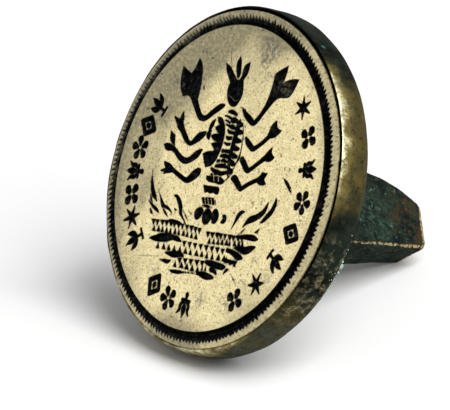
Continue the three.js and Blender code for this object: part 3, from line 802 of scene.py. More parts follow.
MARK_HEIGHT = 2.0
MARK_SCALE = 1.12
MARK_RADIUS = 12.0
MARK_RUNS = ((150, 10.4, 7), (239.5, 12, 3), (296.5, 14.4, 8))


def rays(count, inner, outer, turned=0.0):
    """Short cuts evenly round the middle. An end is a share of the ornament's height and a width."""
    cuts = []
    for i in range(count):
        angle = tau * (i + turned) / count
        way = MARK_HEIGHT * np.array([sin(angle), cos(angle)])
        cuts.append(straight(*[(*(share * way), width) for share, width in (inner, outer)]))
    return cuts


def mirrored(*rows):
    """A curved cut on the right and its mirror image on the left."""
    return [curved(*[(side * x, y, width) for x, y, width in rows]) for side in (-1, 1)]


def lozenge():
    """A thick square frame on its corner, round a dot."""
    high, wide, line = 0.44 * MARK_HEIGHT, 0.36 * MARK_HEIGHT, 0.42
    corners = ((0, high), (wide, 0), (0, -high), (-wide, 0), (0, high))
    return [straight(*[(*corner, line) for corner in corners]), straight((0, -0.06, line), (0, 0.06, line))]


def sprig():
    """Three leaves on a stem with a foot."""
    low, top = -0.48 * MARK_HEIGHT, 0.5 * MARK_HEIGHT
    leaves = mirrored((0, -0.35, 0.24), (0.42, -0.05, 0.5), (0.62, 0.3, 0.34), (0.74, 0.62, 0.06))
    stem = curved((0, low, 0.26), (0, -0.3, 0.24), (0, 0.35, 0.52), (0, top, 0.06))
    return [stem, *leaves, straight((-0.42, low, 0.22), (0.42, low, 0.22))]


def bud():
    """A closed flower between two curled leaves, tied by a band."""
    leaves = mirrored((0.2, -0.4, 0.22), (0.5, -0.05, 0.34), (0.5, 0.35, 0.3), (0.78, 0.7, 0.08))
    flower = curved((0, -0.2, 0.26), (0, 0.3, 0.56), (0, 1.0, 0.06))
    stem = straight((0, -0.5, 0.2), (0, -0.95, 0.42))
    return [flower, stem, *leaves, straight((-0.5, -0.48, 0.24), (0.5, -0.48, 0.24))]


def legend():
    """Ornaments stand round the band, each with its foot to the middle."""
    rosette = rays(5, (0.14, 0.26), (0.34, 0.66))
    quatrefoil = rays(4, (0.2, 0.5), (0.31, 0.72), 0.5)
    star = rays(6, (0, 0.5), (0.47, 0.1))
    motifs = (sprig(), lozenge(), rosette, bud(), quatrefoil, star)
    cuts = []
    for i, degrees in enumerate(first + step * k for first, step, count in MARK_RUNS for k in range(count)):
        angle = radians(degrees)
        turn = angle - pi / 2
        for rows, _ in motifs[i % len(motifs)]:
            x, y, width = MARK_SCALE * rows.T
            across = MARK_RADIUS * cos(angle) + x * cos(turn) - y * sin(turn)
            up = MARK_RADIUS * sin(angle) + x * sin(turn) + y * cos(turn)
            cuts.append(Cut(np.stack([across, up, width], 1), MEDIUM))
    return cuts


# Border: a groove all round, cut by hand, so its edges wander. Each row is degrees, the groove's inner and
# outer radius, the depth of the short cuts beyond it and how far these reach.

BORDER = np.array([
    (0, 14.0, 14.88, 0.3, 15.12),
    (30, 14.02, 14.9, 0.3, 15.15),
    (60, 14.08, 14.88, 0.3, 15.15),
    (90, 14.2, 14.8, 0.2, 15.15),
    (130, 14.3, 14.72, 0.12, 15.25),
    (170, 14.3, 14.8, 0.12, 15.25),
    (230, 14.3, 14.92, 0.16, 15.25),
    (260, 14.2, 14.95, 0.24, 15.2),
    (290, 14.0, 14.95, 0.3, 15.15),
    (320, 13.88, 14.75, 0.3, 15.05),
    (342, 13.86, 14.75, 0.3, 15.05),
])
INNER_WALL = 3.0
OUTER_WALL = 0.9
TOOTH_RING = 14.8
TOOTH_PITCH = 0.45
TOOTH_LEAN = 0.35
TOOTH_WIDTH = 0.34
TOOTH_WANDER = 0.3
TOOTH_OVERLAP = 0.2
DEEP_TOOTH = 0.3
NARROWEST = 0.45


def border_at(degrees):
    """The border's four numbers at these angles."""
    return [np.interp(degrees, BORDER[:, 0], column, period=360) for column in BORDER.T[1:]]


def teeth():
    """Short cuts leaning outwards from the groove, of uneven length. A shallow one is narrower too."""
    cuts = []
    count = round(tau * TOOTH_RING / TOOTH_PITCH)
    for i in range(count):
        angle = tau * (i + TOOTH_WANDER * noise.noise(Vector((i * 1.7, 0, 3)))) / count
        _, root, depth, tip = border_at(np.degrees(angle))
        tip += TOOTH_WANDER * noise.noise(Vector((i * 0.9, 5, 0)))
        lean = TOOTH_LEAN * (1 + noise.noise(Vector((i * 0.05, 9, 0)))) * (tip - root) / tip
        wide = TOOTH_WIDTH * min(1.0, NARROWEST + (1 - NARROWEST) * depth / DEEP_TOOTH)
        rows = []
        for radius, share, part in ((root - TOOTH_OVERLAP, 0, 1.2), (root, 0.2, 1), (tip, 1, 0.15)):
            leant = angle + share * lean
            rows.append((radius * cos(leant), radius * sin(leant), part * wide))
        cuts.append(straight(*rows, depth=depth))
    return cuts


def groove(points):
    """The groove's depth, the signed distance from its edges and the way from its inner edge inwards."""
    radius = np.hypot(*points.T)
    inner, outer, _, _ = border_at(np.degrees(np.arctan2(points[:, 1], points[:, 0])) % 360)
    depth = np.minimum(np.minimum((radius - inner) * INNER_WALL, (outer - radius) * OUTER_WALL), DEEP)
    return depth, np.maximum(inner - radius, radius - outer), -points / radius.clip(1e-6)[:, None]


def beside(points, a, b):
    """How far along a straight line from a to b each point lies, from 0 to 1, and its step away from it."""
    along = b - a
    t = np.clip((points - a) @ along / (along @ along), 0, 1)
    return t, points - a - t[:, None] * along


def stroke_distance(points, rows):
    """Signed distance from a stroke's edge, below zero inside it, and the way straight out of it."""
    nearest = np.full(len(points), np.inf)
    away = np.zeros_like(points)
    for start, end in zip(rows, rows[1:]):
        t, off = beside(points, start[:2], end[:2])
        gap = np.hypot(*off.T)
        distance = gap - (start[2] + (end[2] - start[2]) * t) / 2
        closer = distance < nearest
        nearest[closer] = distance[closer]
        away[closer] = off[closer] / gap[closer].clip(1e-6)[:, None]
    return nearest, away


def area_distance(points, outline):
    """The same for an area. A line from a point inside it crosses its outline an odd number of times."""
    nearest = np.full(len(points), np.inf)
    away = np.zeros_like(points)
    inside = np.zeros(len(points), bool)
    x, y = points.T
    for a, b in zip(outline, np.roll(outline, -1, 0)):
        _, off = beside(points, a, b)
        gap = np.hypot(*off.T)
        closer = gap < nearest
        nearest[closer] = gap[closer]
        away[closer] = off[closer] / gap[closer].clip(1e-6)[:, None]
        crossed = (a[1] > y) != (b[1] > y)
        inside[crossed] ^= x[crossed] < a[0] + (y[crossed] - a[1]) * (b[0] - a[0]) / (b[1] - a[1])
    side = np.where(inside, -1, 1)
    return nearest * side, away * side[:, None]


# Die plate. It lies a little off the middle of its seat. The graver's hand shakes, the hammered field waves
# and a cut's floor is uneven. A deep cut opens wider than its drawn line, by its spread on each side. The
# land's wear has degrees, how far its edge is worn down and how wide the worn strip is.

PLATE_MIDDLE = (0.13, 0.0)
PLATE_CELLS = 300
WALL_SLOPE = 1.7
RIDGE_SLOPE = 2.2
CUT_SPREAD = 0.03
HAND_SHAKE = 0.03
FIELD_WAVE = 0.012
FLOOR_WAVE = 0.2
MARGIN = 0.25
LAND_WEAR = (
    (0, 90, 150, 220, 280, 330),
    (0.2, 0.2, 0.18, 0.18, 0.2, 0.2),
    (0.7, 0.6, 0.3, 0.3, 0.5, 0.7),
)
SIDE_TOP = 0.6
BACK_CHAMFER = 0.1


def disc_grid(radius, cells):
    """A square grid laid over a disc: its rings are circles, and its cells are all the same area."""
    side = np.linspace(-1, 1, cells + 1)
    a, b = np.meshgrid(side, side)
    wide = np.abs(a) > np.abs(b)
    long, short = np.where(wide, a, b), np.where(wide, b, a)
    ratio = np.divide(short, long, out=np.zeros_like(long), where=long != 0)
    angle = np.where(wide, pi / 4 * ratio, pi / 2 - pi / 4 * ratio)
    return np.stack([radius * long * np.cos(angle), radius * long * np.sin(angle)], -1).reshape(-1, 2)


def within(points, shape, margin):
    """Which points lie in a shape's box, widened by a margin."""
    return np.flatnonzero(((points > shape.min(0) - margin) & (points < shape.max(0) + margin)).all(1))


def carve(points, cuts, ridges, hand):
    """At each point: the depth cut, the signed distance from the cuts and the step on to the nearest edge."""
    moved = points + hand
    depth, outside, away = groove(points)
    for shape, floor in cuts:
        is_stroke = shape.shape[1] == 3
        inside = within(moved, shape[:, :2], MARGIN + is_stroke * shape[:, -1].max() / 2)
        distance, way = (stroke_distance if is_stroke else area_distance)(moved[inside], shape)
        distance -= CUT_SPREAD * (floor > HAIRLINE)
        depth[inside] = np.maximum(depth[inside], np.minimum(-distance * WALL_SLOPE, floor))
        closer = distance < outside[inside]
        outside[inside[closer]] = distance[closer]
        away[inside[closer]] = way[closer]
    step = outside[:, None] * away
    for rows in ridges:
        inside = within(moved, rows[:, :2], MARGIN)
        distance, way = stroke_distance(moved[inside], rows)
        depth[inside] = np.minimum(depth[inside], distance.clip(0) * RIDGE_SLOPE)
        outside[inside] = np.maximum(outside[inside], -distance)
        crest = distance + rows[:, 2].mean() / 2
        closer = crest < np.hypot(*step[inside].T)
        step[inside[closer]] = crest[closer, None] * way[closer]
    return depth.clip(0), outside, step


def land_drop(points):
    """How far the land round the border has worn down towards its rim, most on the right."""
    x, y = (points - PLATE_MIDDLE).T
    degrees = np.degrees(np.arctan2(y, x)) % 360
    drop, width = (np.interp(degrees, LAND_WEAR[0], row, period=360) for row in LAND_WEAR[1:])
    return drop * smoothstep(plate.radius - width, plate.radius + 0.3 * width, np.hypot(x, y)) ** 1.5


def die_plate():
    """The engraved top of the plate, its side and its flat back."""
    cuts = claws() + head() + legs() + shell() + tail() + reeds() + water() + slips() + legend() + teeth()
    ridges = standing_metal()
    points = disc_grid(plate.radius, PLATE_CELLS)
    rim = np.isclose(np.hypot(*points.T), plate.radius)
    points += PLATE_MIDDLE
    flat = np.c_[points, np.zeros(len(points))]
    hand = HAND_SHAKE * np.c_[rough(flat, 0.7, 1), rough(flat, 0.7, 2)]
    _, _, step = carve(points, cuts, ridges, hand)
    half_cell = plate.radius / PLATE_CELLS
    snap = (np.hypot(*step.T) < half_cell) & ~rim
    points[snap] -= step[snap]
    depth, outside, _ = carve(points, cuts, ridges, hand)
    floor = depth * (1 + FLOOR_WAVE * rough(np.c_[points * (3, 1), depth], 0.5, 3))
    wave = np.minimum(FIELD_WAVE * rough(flat, 2.5, 4), 0)
    shape = [np.c_[points, wave - floor - land_drop(points)]]

    side = PLATE_CELLS + 1
    index = np.arange(side * side).reshape(side, side)
    cells = np.stack([index[:-1, :-1], index[:-1, 1:], index[1:, 1:], index[1:, :-1]], -1)
    faces = cells.reshape(-1, 4).tolist()
    border = np.concatenate([index[0, :-1], index[:-1, -1], index[-1, :0:-1], index[:0:-1, 0]])
    ring = border
    start = len(points)
    for low, inset in ((SIDE_TOP, 0), (plate.back - BACK_CHAMFER, 0), (plate.back, BACK_CHAMFER)):
        around = PLATE_MIDDLE + (points[border] - PLATE_MIDDLE) * (1 - inset / plate.radius)
        shape.append(np.c_[around, np.full(len(border), -low)])
        lower = np.arange(start, start + len(border))
        faces += np.stack([ring, lower, np.roll(lower, -1), np.roll(ring, -1)], -1).tolist()
        ring = lower
        start += len(border)
    shape.append([[0, 0, -plate.back]])
    faces += [[a, start, b] for a, b in zip(ring, np.roll(ring, -1))]
    everything = np.vstack(shape)
    below = len(everything) - len(points)
    return new_mesh(
        "die_plate_engraved", everything, faces,
        cut_depth=np.r_[depth, np.full(below, DEEP)],
        outside_cut=np.r_[outside.clip(-1, 1), np.full(below, -1.0)],
    )


# Shapes made by node trees: a profile swept round the seal's axis, and grains set on points

ROUND_STEPS = 420


def shape_tree(name, *inputs):
    """A node tree that shapes a piece, and the sockets of its named inputs."""
    tree = bpy.data.node_groups.new(name, "GeometryNodeTree")
    for label, kind, value in (*inputs, ("Seed", "Int", 0), ("Finish", "Material", None)):
        socket = tree.interface.new_socket(label, in_out="INPUT", socket_type="NodeSocket" + kind)
        if value is not None:
            socket.default_value = value
    tree.interface.new_socket("Piece", in_out="OUTPUT", socket_type="NodeSocketGeometry")
    return tree, add(tree, "NodeGroupInput").outputs


def pushed(tree, shape, noisy, amount):
    """A shape pushed in and out along its normals, where noise is below or above its middle."""
    centred = add(tree, "ShaderNodeMath", {0: noisy.outputs[0], 1: 0.5}, operation="SUBTRACT")
    push = add(tree, "ShaderNodeMath", {0: centred, 1: amount}, operation="MULTIPLY")
    along = {0: add(tree, "GeometryNodeInputNormal"), "Scale": push}
    offset = add(tree, "ShaderNodeVectorMath", along, operation="SCALE")
    return add(tree, "GeometryNodeSetPosition", {"Geometry": shape, "Offset": offset})


def end_tree(tree, shape, finish):
    """The tree's result: real geometry with its finish."""
    real = add(tree, "GeometryNodeRealizeInstances", {"Geometry": shape})
    finished = add(tree, "GeometryNodeSetMaterial", {"Geometry": real, "Material": finish})
    add(tree, "NodeGroupOutput", {"Piece": finished})
    return tree


def turned_and_dented():
    """Sweeps a profile round the axis and dents it, as casting, the file and handling do."""
    tree, given = shape_tree(
        "turned_and_dented", ("Profile", "Geometry", None), ("Round steps", "Int", ROUND_STEPS),
        ("Dent size", "Float", 3.0), ("Dent depth", "Float", 0.05),
    )
    steps = {"Resolution": given["Round steps"], "Radius": 1.0}
    circle = add(tree, "GeometryNodeCurvePrimitiveCircle", steps).outputs["Curve"]
    sweep = add(tree, "GeometryNodeCurveToMesh", {"Curve": circle, "Profile Curve": given["Profile"]})
    joined = add(tree, "GeometryNodeMergeByDistance", {"Geometry": sweep, "Distance": 1e-4})
    dents = add(tree, "ShaderNodeTexNoise", {
        "Vector": add(tree, "GeometryNodeInputPosition"),
        "W": given["Seed"],
        "Scale": add(tree, "ShaderNodeMath", {0: 1.0, 1: given["Dent size"]}, operation="DIVIDE"),
        "Detail": 2.0,
    }, noise_dimensions="4D")
    return end_tree(tree, pushed(tree, joined, dents, given["Dent depth"]), given["Finish"])


def scattered_grains():
    """A rough grain on each point of the source, as big as the point's size says."""
    tree, given = shape_tree("scattered_grains", ("Places", "Geometry", None), ("Roughness", "Float", 1.0))
    turn = add(tree, "FunctionNodeRandomValue", {"Max": (tau, tau, tau), "Seed": given["Seed"]},
               data_type="FLOAT_VECTOR")
    grain = add(tree, "GeometryNodeMeshIcoSphere", {"Radius": 1.0, "Subdivisions": 4})
    uneven = add(tree, "ShaderNodeTexNoise", {"Vector": add(tree, "GeometryNodeInputPosition"), "Scale": 0.9})
    placed = add(tree, "GeometryNodeInstanceOnPoints", {
        "Points": given["Places"],
        "Instance": pushed(tree, grain, uneven, given["Roughness"]),
        "Rotation": turn,
        "Scale": add(tree, "GeometryNodeInputNamedAttribute", {"Name": "size"}, data_type="FLOAT"),
    })
    return end_tree(tree, placed, given["Finish"])


def modelled(source, tree, **inputs):
    """The plain mesh that a node tree makes of a source object, which is then removed."""
    modifier = source.modifiers.new("shape", "NODES")
    modifier.node_group = tree
    sockets = {s.name: s.identifier for s in tree.interface.items_tree if s.in_out == "INPUT"}
    for name, value in inputs.items():
        modifier[sockets[name.replace("_", " ")]] = value
    bpy.context.view_layer.update()
    shaped = source.evaluated_get(bpy.context.evaluated_depsgraph_get())
    mesh = bpy.data.meshes.new_from_object(shaped)
    source.modifiers.remove(modifier)
    bpy.data.objects.remove(source)
    return mesh


def profile_curve(points, closed):
    """A curve through radius and depth pairs, for the sweep."""
    curve = bpy.data.curves.new("profile", "CURVE")
    curve.dimensions = "3D"
    spline = curve.splines.new("POLY")
    spline.points.add(len(points) - 1)
    for knot, (radius, depth) in zip(spline.points, points):
        knot.co = (radius - 1, depth, 0, 1)
    spline.use_cyclic_u = closed
    return linked("profile", curve)


def arc(centre, reaches, start, end, steps):
    """Points of an arc, each a radius and a depth."""
    angles = np.radians(np.linspace(start, end, steps + 1))
    return [(centre[0] + reaches[0] * cos(a), centre[1] + reaches[1] * sin(a)) for a in angles]


def round_seal(radius, degrees, depth):
    """A place on the seal from its radius, its angle and its depth behind the face."""
    return np.array([radius * cos(radians(degrees)), radius * sin(radians(degrees)), -depth])


# Cast disc

SEAT_RADIUS = 15.85
SEAT_DEPTH = 2.3
LIP_ROUND = 0.12
SHOULDER = 1.0
REAR_EDGE = 2.1
HOLE_RADIUS = 3.3
HOLE_HEAD_RADIUS = 4.2
HOLE_HEAD_DEPTH = 3.2
# The lip is hammered shut where its share is 1, by degrees. It closes over the plate by up to LIP_CLOSES, and
# rises by the first amount where it is open and by the second where it is shut.
LIP_SHUT = ((0, 105, 150, 312, 334, 360), (0, 0, 1, 1, 0, 0))
LIP_CLOSES = 0.3
LIP_RISES = (0.22, 0.34)
LIP_DEPTHS = (1.7, 0.9)
# Knocks on the side: radius, degrees and depth, then how wide and how deep
KNOCKS = (
    ((16.0, 26.4, 0.95), 0.3, 0.16),
    ((16.0, 17.4, 0.9), 0.3, 0.12),
    ((16.0, 39, 1.3), 0.7, 0.12),
    ((16.1, 62, 2.0), 1.2, 0.12),
    ((16.1, 5, 2.2), 1.0, 0.1),
    ((15.6, -28, 4.0), 1.2, 0.12),
)
# Where hands have rubbed the shoulder bare, and where its pale colour also paints the lamp's highlight:
# degrees on from straight down, how bare, and the depth it reaches
HANDLED_AND_LIT = (
    (76, 86, 96, 116, 126, 134, 142),
    (0, 0.35, 1, 1, 0.85, 0.5, 0),
    (0.8, 0.9, 1.0, 1.2, 1.2, 1.1, 1.0),
)
# How deep the hammered lip is rubbed, by degrees, and how bare it is there
LIP_RUBBED = ((200, 215, 240, 268, 284, 300, 312), (0.2, 1.0, 1.7, 1.9, 1.3, 0.6, 0.2))
LIP_BARE = 0.72
# A thin pale line on the rear edge, a painted reflection where the edge shows on the lower right: by degrees,
# then its depth, half its width and how pale it is
EDGE_SHINE_ANGLES = ((20, 40, 315, 335), (1, 0, 0, 1))
EDGE_DEPTH, EDGE_HALF, EDGE_SHINE = 4.0, 0.11, 0.6


def body_profile():
    """Radius and depth round the section: lip, swelling side, round rear edge, back, hole and seat."""
    crest = (SEAT_RADIUS + LIP_ROUND, body.front + LIP_ROUND)
    edge = (body.radius - REAR_EDGE, body.back - REAR_EDGE)
    return [
        *arc(crest, (LIP_ROUND, LIP_ROUND), 180, 270, 4),
        *arc((crest[0], body.front + SHOULDER), (body.radius - crest[0], -SHOULDER), 90, 0, 10)[1:],
        *arc(edge, (REAR_EDGE, REAR_EDGE), 0, 90, 16),
        *[(r, body.back) for r in np.linspace(edge[0], HOLE_RADIUS, 11)[1:]],
        (HOLE_RADIUS, HOLE_HEAD_DEPTH),
        (HOLE_HEAD_RADIUS, SEAT_DEPTH),
        *[(r, SEAT_DEPTH) for r in np.linspace(HOLE_HEAD_RADIUS, SEAT_RADIUS, 7)[1:]],
        (SEAT_RADIUS, 1.5),
        (SEAT_RADIUS, 1.1),
    ]


def seal_body(tree, finish):
    """The cast disc. Its lip is hammered against the plate on the left and stands off it on the right."""
    profile = profile_curve(body_profile(), True)
    mesh = modelled(profile, tree, Dent_depth=0.16, Dent_size=4.0, Seed=4, Finish=finish)
    points = seal_points(mesh)
    radius = np.hypot(points[:, 0], points[:, 1])
    depth = -points[:, 2]
    degrees = np.degrees(np.arctan2(points[:, 1], points[:, 0])) % 360
    shut = np.interp(degrees, *LIP_SHUT)
    lip = smoothstep(*LIP_DEPTHS, depth) * smoothstep(SEAT_RADIUS - 0.4, SEAT_RADIUS - 0.1, radius)
    inward = shut * lip * LIP_CLOSES * smoothstep(body.radius + 0.1, SEAT_RADIUS, radius)
    points[:, :2] *= (1 - inward / radius.clip(1))[:, None]
    points[:, 2] += lip * (LIP_RISES[0] + (LIP_RISES[1] - LIP_RISES[0]) * shut)
    outside = smoothstep(SEAT_RADIUS - 0.1, SEAT_RADIUS + 0.1, radius)
    for place, size, push in KNOCKS:
        gap = np.linalg.norm(points - round_seal(*place), axis=1)
        points[:, :2] *= (1 - push * outside * np.exp(-(gap / size) ** 2) / radius.clip(1))[:, None]
    mesh.vertices.foreach_set("co", points.ravel())

    # Painted highlight: the bare strip on the shoulder's crest lies where the lamp's reflection falls, and is
    # paler for it.
    handled_and_lit, reaches = (np.interp((degrees + 90) % 360, HANDLED_AND_LIT[0], row) for row in HANDLED_AND_LIT[1:])
    reaches += 0.35 * rough(points, 0.9, 12)
    crest = smoothstep(reaches + 1.2, reaches - 0.6, depth) * handled_and_lit
    rubbed_and_highlight = np.interp(degrees, *LIP_RUBBED) + 0.3 * rough(points, 1.1, 14)
    hammered = LIP_BARE * shut * smoothstep(rubbed_and_highlight + 0.35, rubbed_and_highlight - 0.35, depth)
    # Painted reflection: a thin pale line on the rear edge, where it shows on the lower right.
    line = np.exp(-((depth - EDGE_DEPTH) / EDGE_HALF) ** 2)
    behind = EDGE_SHINE * line * np.interp(degrees, *EDGE_SHINE_ANGLES)
    blotchy = 0.85 + 0.45 * rough(points, 1.3, 11) + 0.3 * rough(points, 0.5, 13)
    wear = np.maximum(np.maximum(crest, behind), hammered) * outside * blotchy
    # Painted shade: the seat's wall is darkened below the lip, in the narrow gap round the plate.
    grime = smoothstep(0.8, 1.0, depth) * smoothstep(SEAT_RADIUS + 0.1, SEAT_RADIUS, radius)
    mesh = to_row(mesh, wear=wear.clip(0, 1), grime=grime * (depth < SEAT_DEPTH + 0.1))
    for vertex in mesh.vertices:
        vertex.co.z = max(vertex.co.z, 0)
    return mesh


# Solder, thinner at its edge

SOLDER_EDGE = 0.15
SOLDER_THINS = 0.08


def solder_bed(tree, finish):
    """The thin solder layer that holds the plate in its seat."""
    profile = [
        (0, bed.front),
        (bed.radius - SOLDER_EDGE, bed.front),
        (bed.radius, bed.front + SOLDER_THINS),
        (bed.radius, bed.back - SOLDER_THINS),
        (bed.radius - SOLDER_EDGE, bed.back),
        (0, bed.back),
    ]
    source = profile_curve(profile, False)
    mesh = modelled(source, tree, Round_steps=180, Dent_depth=0.06, Dent_size=1.6, Seed=7, Finish=finish)
    return to_row(mesh)


# Verdigris. Its larger crumbs have radius, degrees and depth, and then a size. Fine ones lie among them, and
# have degrees across the rear edge's rounding, middle degrees and a spread round the seal, and sizes.

LARGE_CRUMBS = (
    ((15.5, -23, 4.0), 0.24),
    ((15.4, -25.4, 4.1), 0.15),
    ((15.6, -21.4, 3.9), 0.12),
    ((15.2, -29, 4.3), 0.11),
    ((15.3, -33, 4.2), 0.14),
    ((15.6, -36, 3.8), 0.1),
)
FINE_CRUMBS = 26
FINE_ACROSS = (15, 80)
FINE_ROUND = (-27, 6)
FINE_SIZES = (0.03, 0.065)


def verdigris_crumbs(surface, tree, finish):
    """Crumbs sunk in the disc's rear edge, where damp stood."""
    draw = np.random.default_rng(5)
    places = [round_seal(*place) for place, _ in LARGE_CRUMBS]
    sizes = [size for _, size in LARGE_CRUMBS]
    for _ in range(FINE_CRUMBS):
        across = radians(draw.uniform(*FINE_ACROSS))
        out = body.radius - REAR_EDGE + REAR_EDGE * cos(across)
        depth = body.back - REAR_EDGE + REAR_EDGE * sin(across)
        places.append(round_seal(out, draw.normal(*FINE_ROUND), depth))
        sizes.append(draw.uniform(*FINE_SIZES))
    skin = to_seal(np.array([v.co for v in surface.vertices]))
    nearest = [np.argmin(np.linalg.norm(skin - place, axis=1)) for place in places]
    mesh = bpy.data.meshes.new("crumb_places")
    mesh.from_pydata(skin[nearest], [], [])
    mesh.attributes.new("size", "FLOAT", "POINT").data.foreach_set("value", sizes)
    return to_row(modelled(linked("crumb_places", mesh), tree, Roughness=1.1, Seed=3, Finish=finish))


# Tang. Its section is turned and stands a little below the middle. Its upper side is crowned near the end.

TANG_TURN = 26.4
TANG_DROP = 0.65
TANG_SHOULDER = 4.9
TANG_ROOT = (7.8, 11.3)
TANG_END = (4.05, 4.55)
ARRIS_RADIUS = 0.6
END_ROUND = 0.5
TENON_RADIUS = 3.0
HEAD_RADIUS = 3.9
AROUND = 240
ALONG = 130
ROUND_RINGS = 8
HAMMER_SIZE = 3.2
HAMMER_DEPTH = 0.16
FILE_SIZE = 0.8
FILE_DEPTH = 0.03
CROWN_TOWARDS = 81.8
CROWN_HEIGHT = 0.45
CROWN_REACH = 0.45
# Rings inside the flat end: their share of its size and how bare they are
END_RINGS = ((0.02, 0), (0.35, 0), (0.7, 0.3))
END_BARE = 0.9
# How bare the arrises would be at the face, and what they gain from there to the tang's end
ARRIS_BARE = (0.48, 0.54)
# The directions of a ring's points, seen from the middle
angles = tau * (np.arange(AROUND) + 0.5) / AROUND
circle = np.c_[np.cos(angles), np.sin(angles)]


def rounded_section(width, height, radius):
    """Points round a rectangle with rounded corners, evenly spread by angle."""
    inner = np.array([width, height]) / 2 - radius
    low, high = np.zeros(AROUND), np.full(AROUND, float(width + height))
    for _ in range(30):
        middle = (low + high) / 2
        inside = np.hypot(*(np.abs(circle) * middle[:, None] - inner).clip(0).T) < radius
        low, high = np.where(inside, middle, low), np.where(inside, high, middle)
    return circle * low[:, None]


def end_ring(bend):
    """A section of the end's worn rounding, from 0 at the flat end to a right angle at the flank."""
    inset = END_ROUND * (1 - sin(bend))
    sides = [side - 2 * inset for side in TANG_END]
    return rounded_section(*sides, ARRIS_RADIUS - 0.5 * inset), tang.back - END_ROUND * (1 - cos(bend))


def flank_ring(depth):
    """A section of the taper."""
    share = (tang.back - depth) / (tang.back - TANG_SHOULDER)
    sides = [end + (root - end) * share for root, end in zip(TANG_ROOT, TANG_END)]
    return rounded_section(*sides, ARRIS_RADIUS), depth


def bareness(section, depth):
    """How bare a ring's points are: on the arrises, and where the end is rounded."""
    corner = (np.abs(section) - np.abs(section).max(0) + ARRIS_RADIUS).min(1) / ARRIS_RADIUS
    arris = smoothstep(0.1, 0.7, corner) * (ARRIS_BARE[0] + ARRIS_BARE[1] * depth / tang.back)
    ends = END_BARE * smoothstep(tang.back - 0.95, tang.back - 0.4, depth)
    return np.maximum(arris, ends) * (depth > TANG_SHOULDER)


def tang_mesh():
    """A tapered square bar with hammered sides, filed arrises, a round tenon and a rivet head."""
    shaped = [end_ring(bend) for bend in pi / 2 * np.linspace(0, 1, ROUND_RINGS)]
    flat_end = shaped[0][0]
    shaped += [flank_ring(depth) for depth in np.linspace(tang.back - END_ROUND, TANG_SHOULDER, ALONG)[1:]]
    root = shaped[-1][0]
    rings = [(flat_end * share, tang.back) for share, _ in END_RINGS] + shaped + [
        (root * 0.8, TANG_SHOULDER),
        (circle * TENON_RADIUS, TANG_SHOULDER),
        (circle * TENON_RADIUS, HOLE_HEAD_DEPTH),
        (circle * HEAD_RADIUS, SEAT_DEPTH),
        (circle * 0.05, SEAT_DEPTH),
    ]
    wear = np.array([bareness(*ring) for ring in rings])
    wear[:len(END_RINGS)] *= np.array([bare for _, bare in END_RINGS])[:, None]
    turned = np.array(Matrix.Rotation(radians(TANG_TURN), 2)).T
    points = np.vstack([
        np.c_[section @ turned + (0, -TANG_DROP), np.full(AROUND, -depth)] for section, depth in rings
    ])
    out = points * (1, 1, 0) + (0, TANG_DROP, 0)
    out /= np.linalg.norm(out, axis=1).clip(1e-6)[:, None]
    hammer = HAMMER_DEPTH * rough(points, HAMMER_SIZE, 21) + FILE_DEPTH * rough(points, FILE_SIZE, 22)
    first = len(END_RINGS) * AROUND
    hammer[:first] = 0
    hammer[first + len(shaped) * AROUND:] = 0
    points += out * hammer[:, None].clip(-HAMMER_DEPTH, 0.5 * HAMMER_DEPTH)
    share = ((tang.back + points[:, 2]) / (tang.back - TANG_SHOULDER) / CROWN_REACH).clip(0, 1)
    upper = out @ round_seal(1, CROWN_TOWARDS, 0)
    points += out * (CROWN_HEIGHT * np.sin(pi * share) * smoothstep(0.8, 1.0, upper))[:, None]

    faces = []
    for a in np.arange(len(points) - AROUND).reshape(-1, AROUND):
        b = a + AROUND
        faces += np.stack([a, np.roll(a, -1), np.roll(b, -1), b], -1).tolist()
    faces += [list(range(AROUND))[::-1], list(range(len(points) - AROUND, len(points)))]
    return new_mesh("tang", points, faces, wear=wear.ravel())


# Camera, at the photograph's viewing angle

CAMERA_AZIMUTH = 56.4
CAMERA_ELEVATION = 24.0
CAMERA_ROLL = -8.3
CAMERA_DISTANCE = 1.0
CAMERA_AIM = (1.51, -2.32, 0)
LENS = 885
SENSOR = 36


def looking(place, way):
    """A turned and moved frame that looks along a direction from a place."""
    return Matrix.Translation(place) @ way.to_track_quat("-Z", "Y").to_matrix().to_4x4()


def add_camera():
    """A long lens that looks at the seal from the photograph's side."""
    azimuth, elevation = radians(CAMERA_AZIMUTH), radians(CAMERA_ELEVATION)
    back = Vector((sin(azimuth) * cos(elevation), -cos(azimuth) * cos(elevation), sin(elevation)))
    data = bpy.data.cameras.new("camera")
    data.lens = LENS
    data.sensor_width = SENSOR
    data.clip_end = 10
    camera = linked("camera", data)
    place = seal_to_row @ Vector(CAMERA_AIM) + back * CAMERA_DISTANCE
    camera.matrix_world = looking(place, -back) @ Matrix.Rotation(radians(CAMERA_ROLL), 4, "Z")
    bpy.context.scene.camera = camera


# Studio: a soft lamp high on the right, a low even sky and white paper

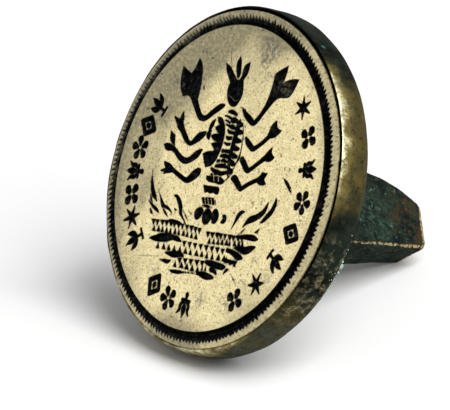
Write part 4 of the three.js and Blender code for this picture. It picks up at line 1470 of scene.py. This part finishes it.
KEY_FROM = (0.66, 0.17, 0.72)
KEY_DISTANCE = 1.2
KEY_SIZE = 0.95
KEY_POWER = 18.5
SKY = 0.3
FLOOR_HALF = 1.5


def add_key_lamp():
    """A soft square lamp that looks at the middle of the seal's face."""
    data = bpy.data.lights.new("key", "AREA")
    data.size = KEY_SIZE
    data.energy = KEY_POWER
    target = seal_to_row.to_translation()
    place = target + Vector(KEY_FROM).normalized() * KEY_DISTANCE
    linked("key", data).matrix_world = looking(place, target - place)


def add_sky():
    """A world that the camera sees white, directly or in metal, and that lights the seal only a little."""
    world = bpy.data.worlds.new("studio")
    bpy.context.scene.world = world
    world.use_nodes = True
    tree = world.node_tree
    path = add(tree, "ShaderNodeLightPath").outputs
    seen = path["Is Camera Ray"]
    for ray in ("Is Glossy Ray", "Is Transmission Ray"):
        seen = add(tree, "ShaderNodeMath", {0: seen, 1: path[ray]}, operation="ADD", use_clamp=True)
    strength = add(tree, "ShaderNodeMapRange", {"Value": seen, "To Min": SKY, "To Max": 1.0})
    background = tree.nodes["Background"]
    background.inputs["Color"].default_value = tone("#FFFFFF")
    tree.links.new(strength.outputs["Result"], background.inputs["Strength"])


def add_floor():
    """White paper under the seal."""
    material = Paint("white_paper").finish(Base_Color=tone("#FFFFFF"), Roughness=0.9)
    mesh = bpy.data.meshes.new("floor")
    corners = [(x * FLOOR_HALF, y * FLOOR_HALF, 0) for x, y in ((-1, -1), (1, -1), (1, 1), (-1, 1))]
    mesh.from_pydata(corners, [], [(0, 1, 2, 3)])
    mesh.materials.append(material)
    floor = linked("floor", mesh)


turning = turned_and_dented()
cast, solder, mint_green = cast_brass(), soft_solder(), verdigris()
add_piece("engraved_plate", die_plate(), engraved_brass(), "die_plate")
disc = add_piece("cast_disc", seal_body(turning, cast), cast, "seal_body")
add_piece("solder_layer", solder_bed(turning, solder), solder, "solder_bed")
add_piece("square_tang", tang_mesh(), patinated_brass(), "tang")
crumbs = verdigris_crumbs(disc.data, scattered_grains(), mint_green)
add_piece("verdigris_crumbs", crumbs, mint_green)
add_camera()
bpy.context.scene.view_settings.view_transform = "Standard"
add_sky()
add_key_lamp()
add_floor()
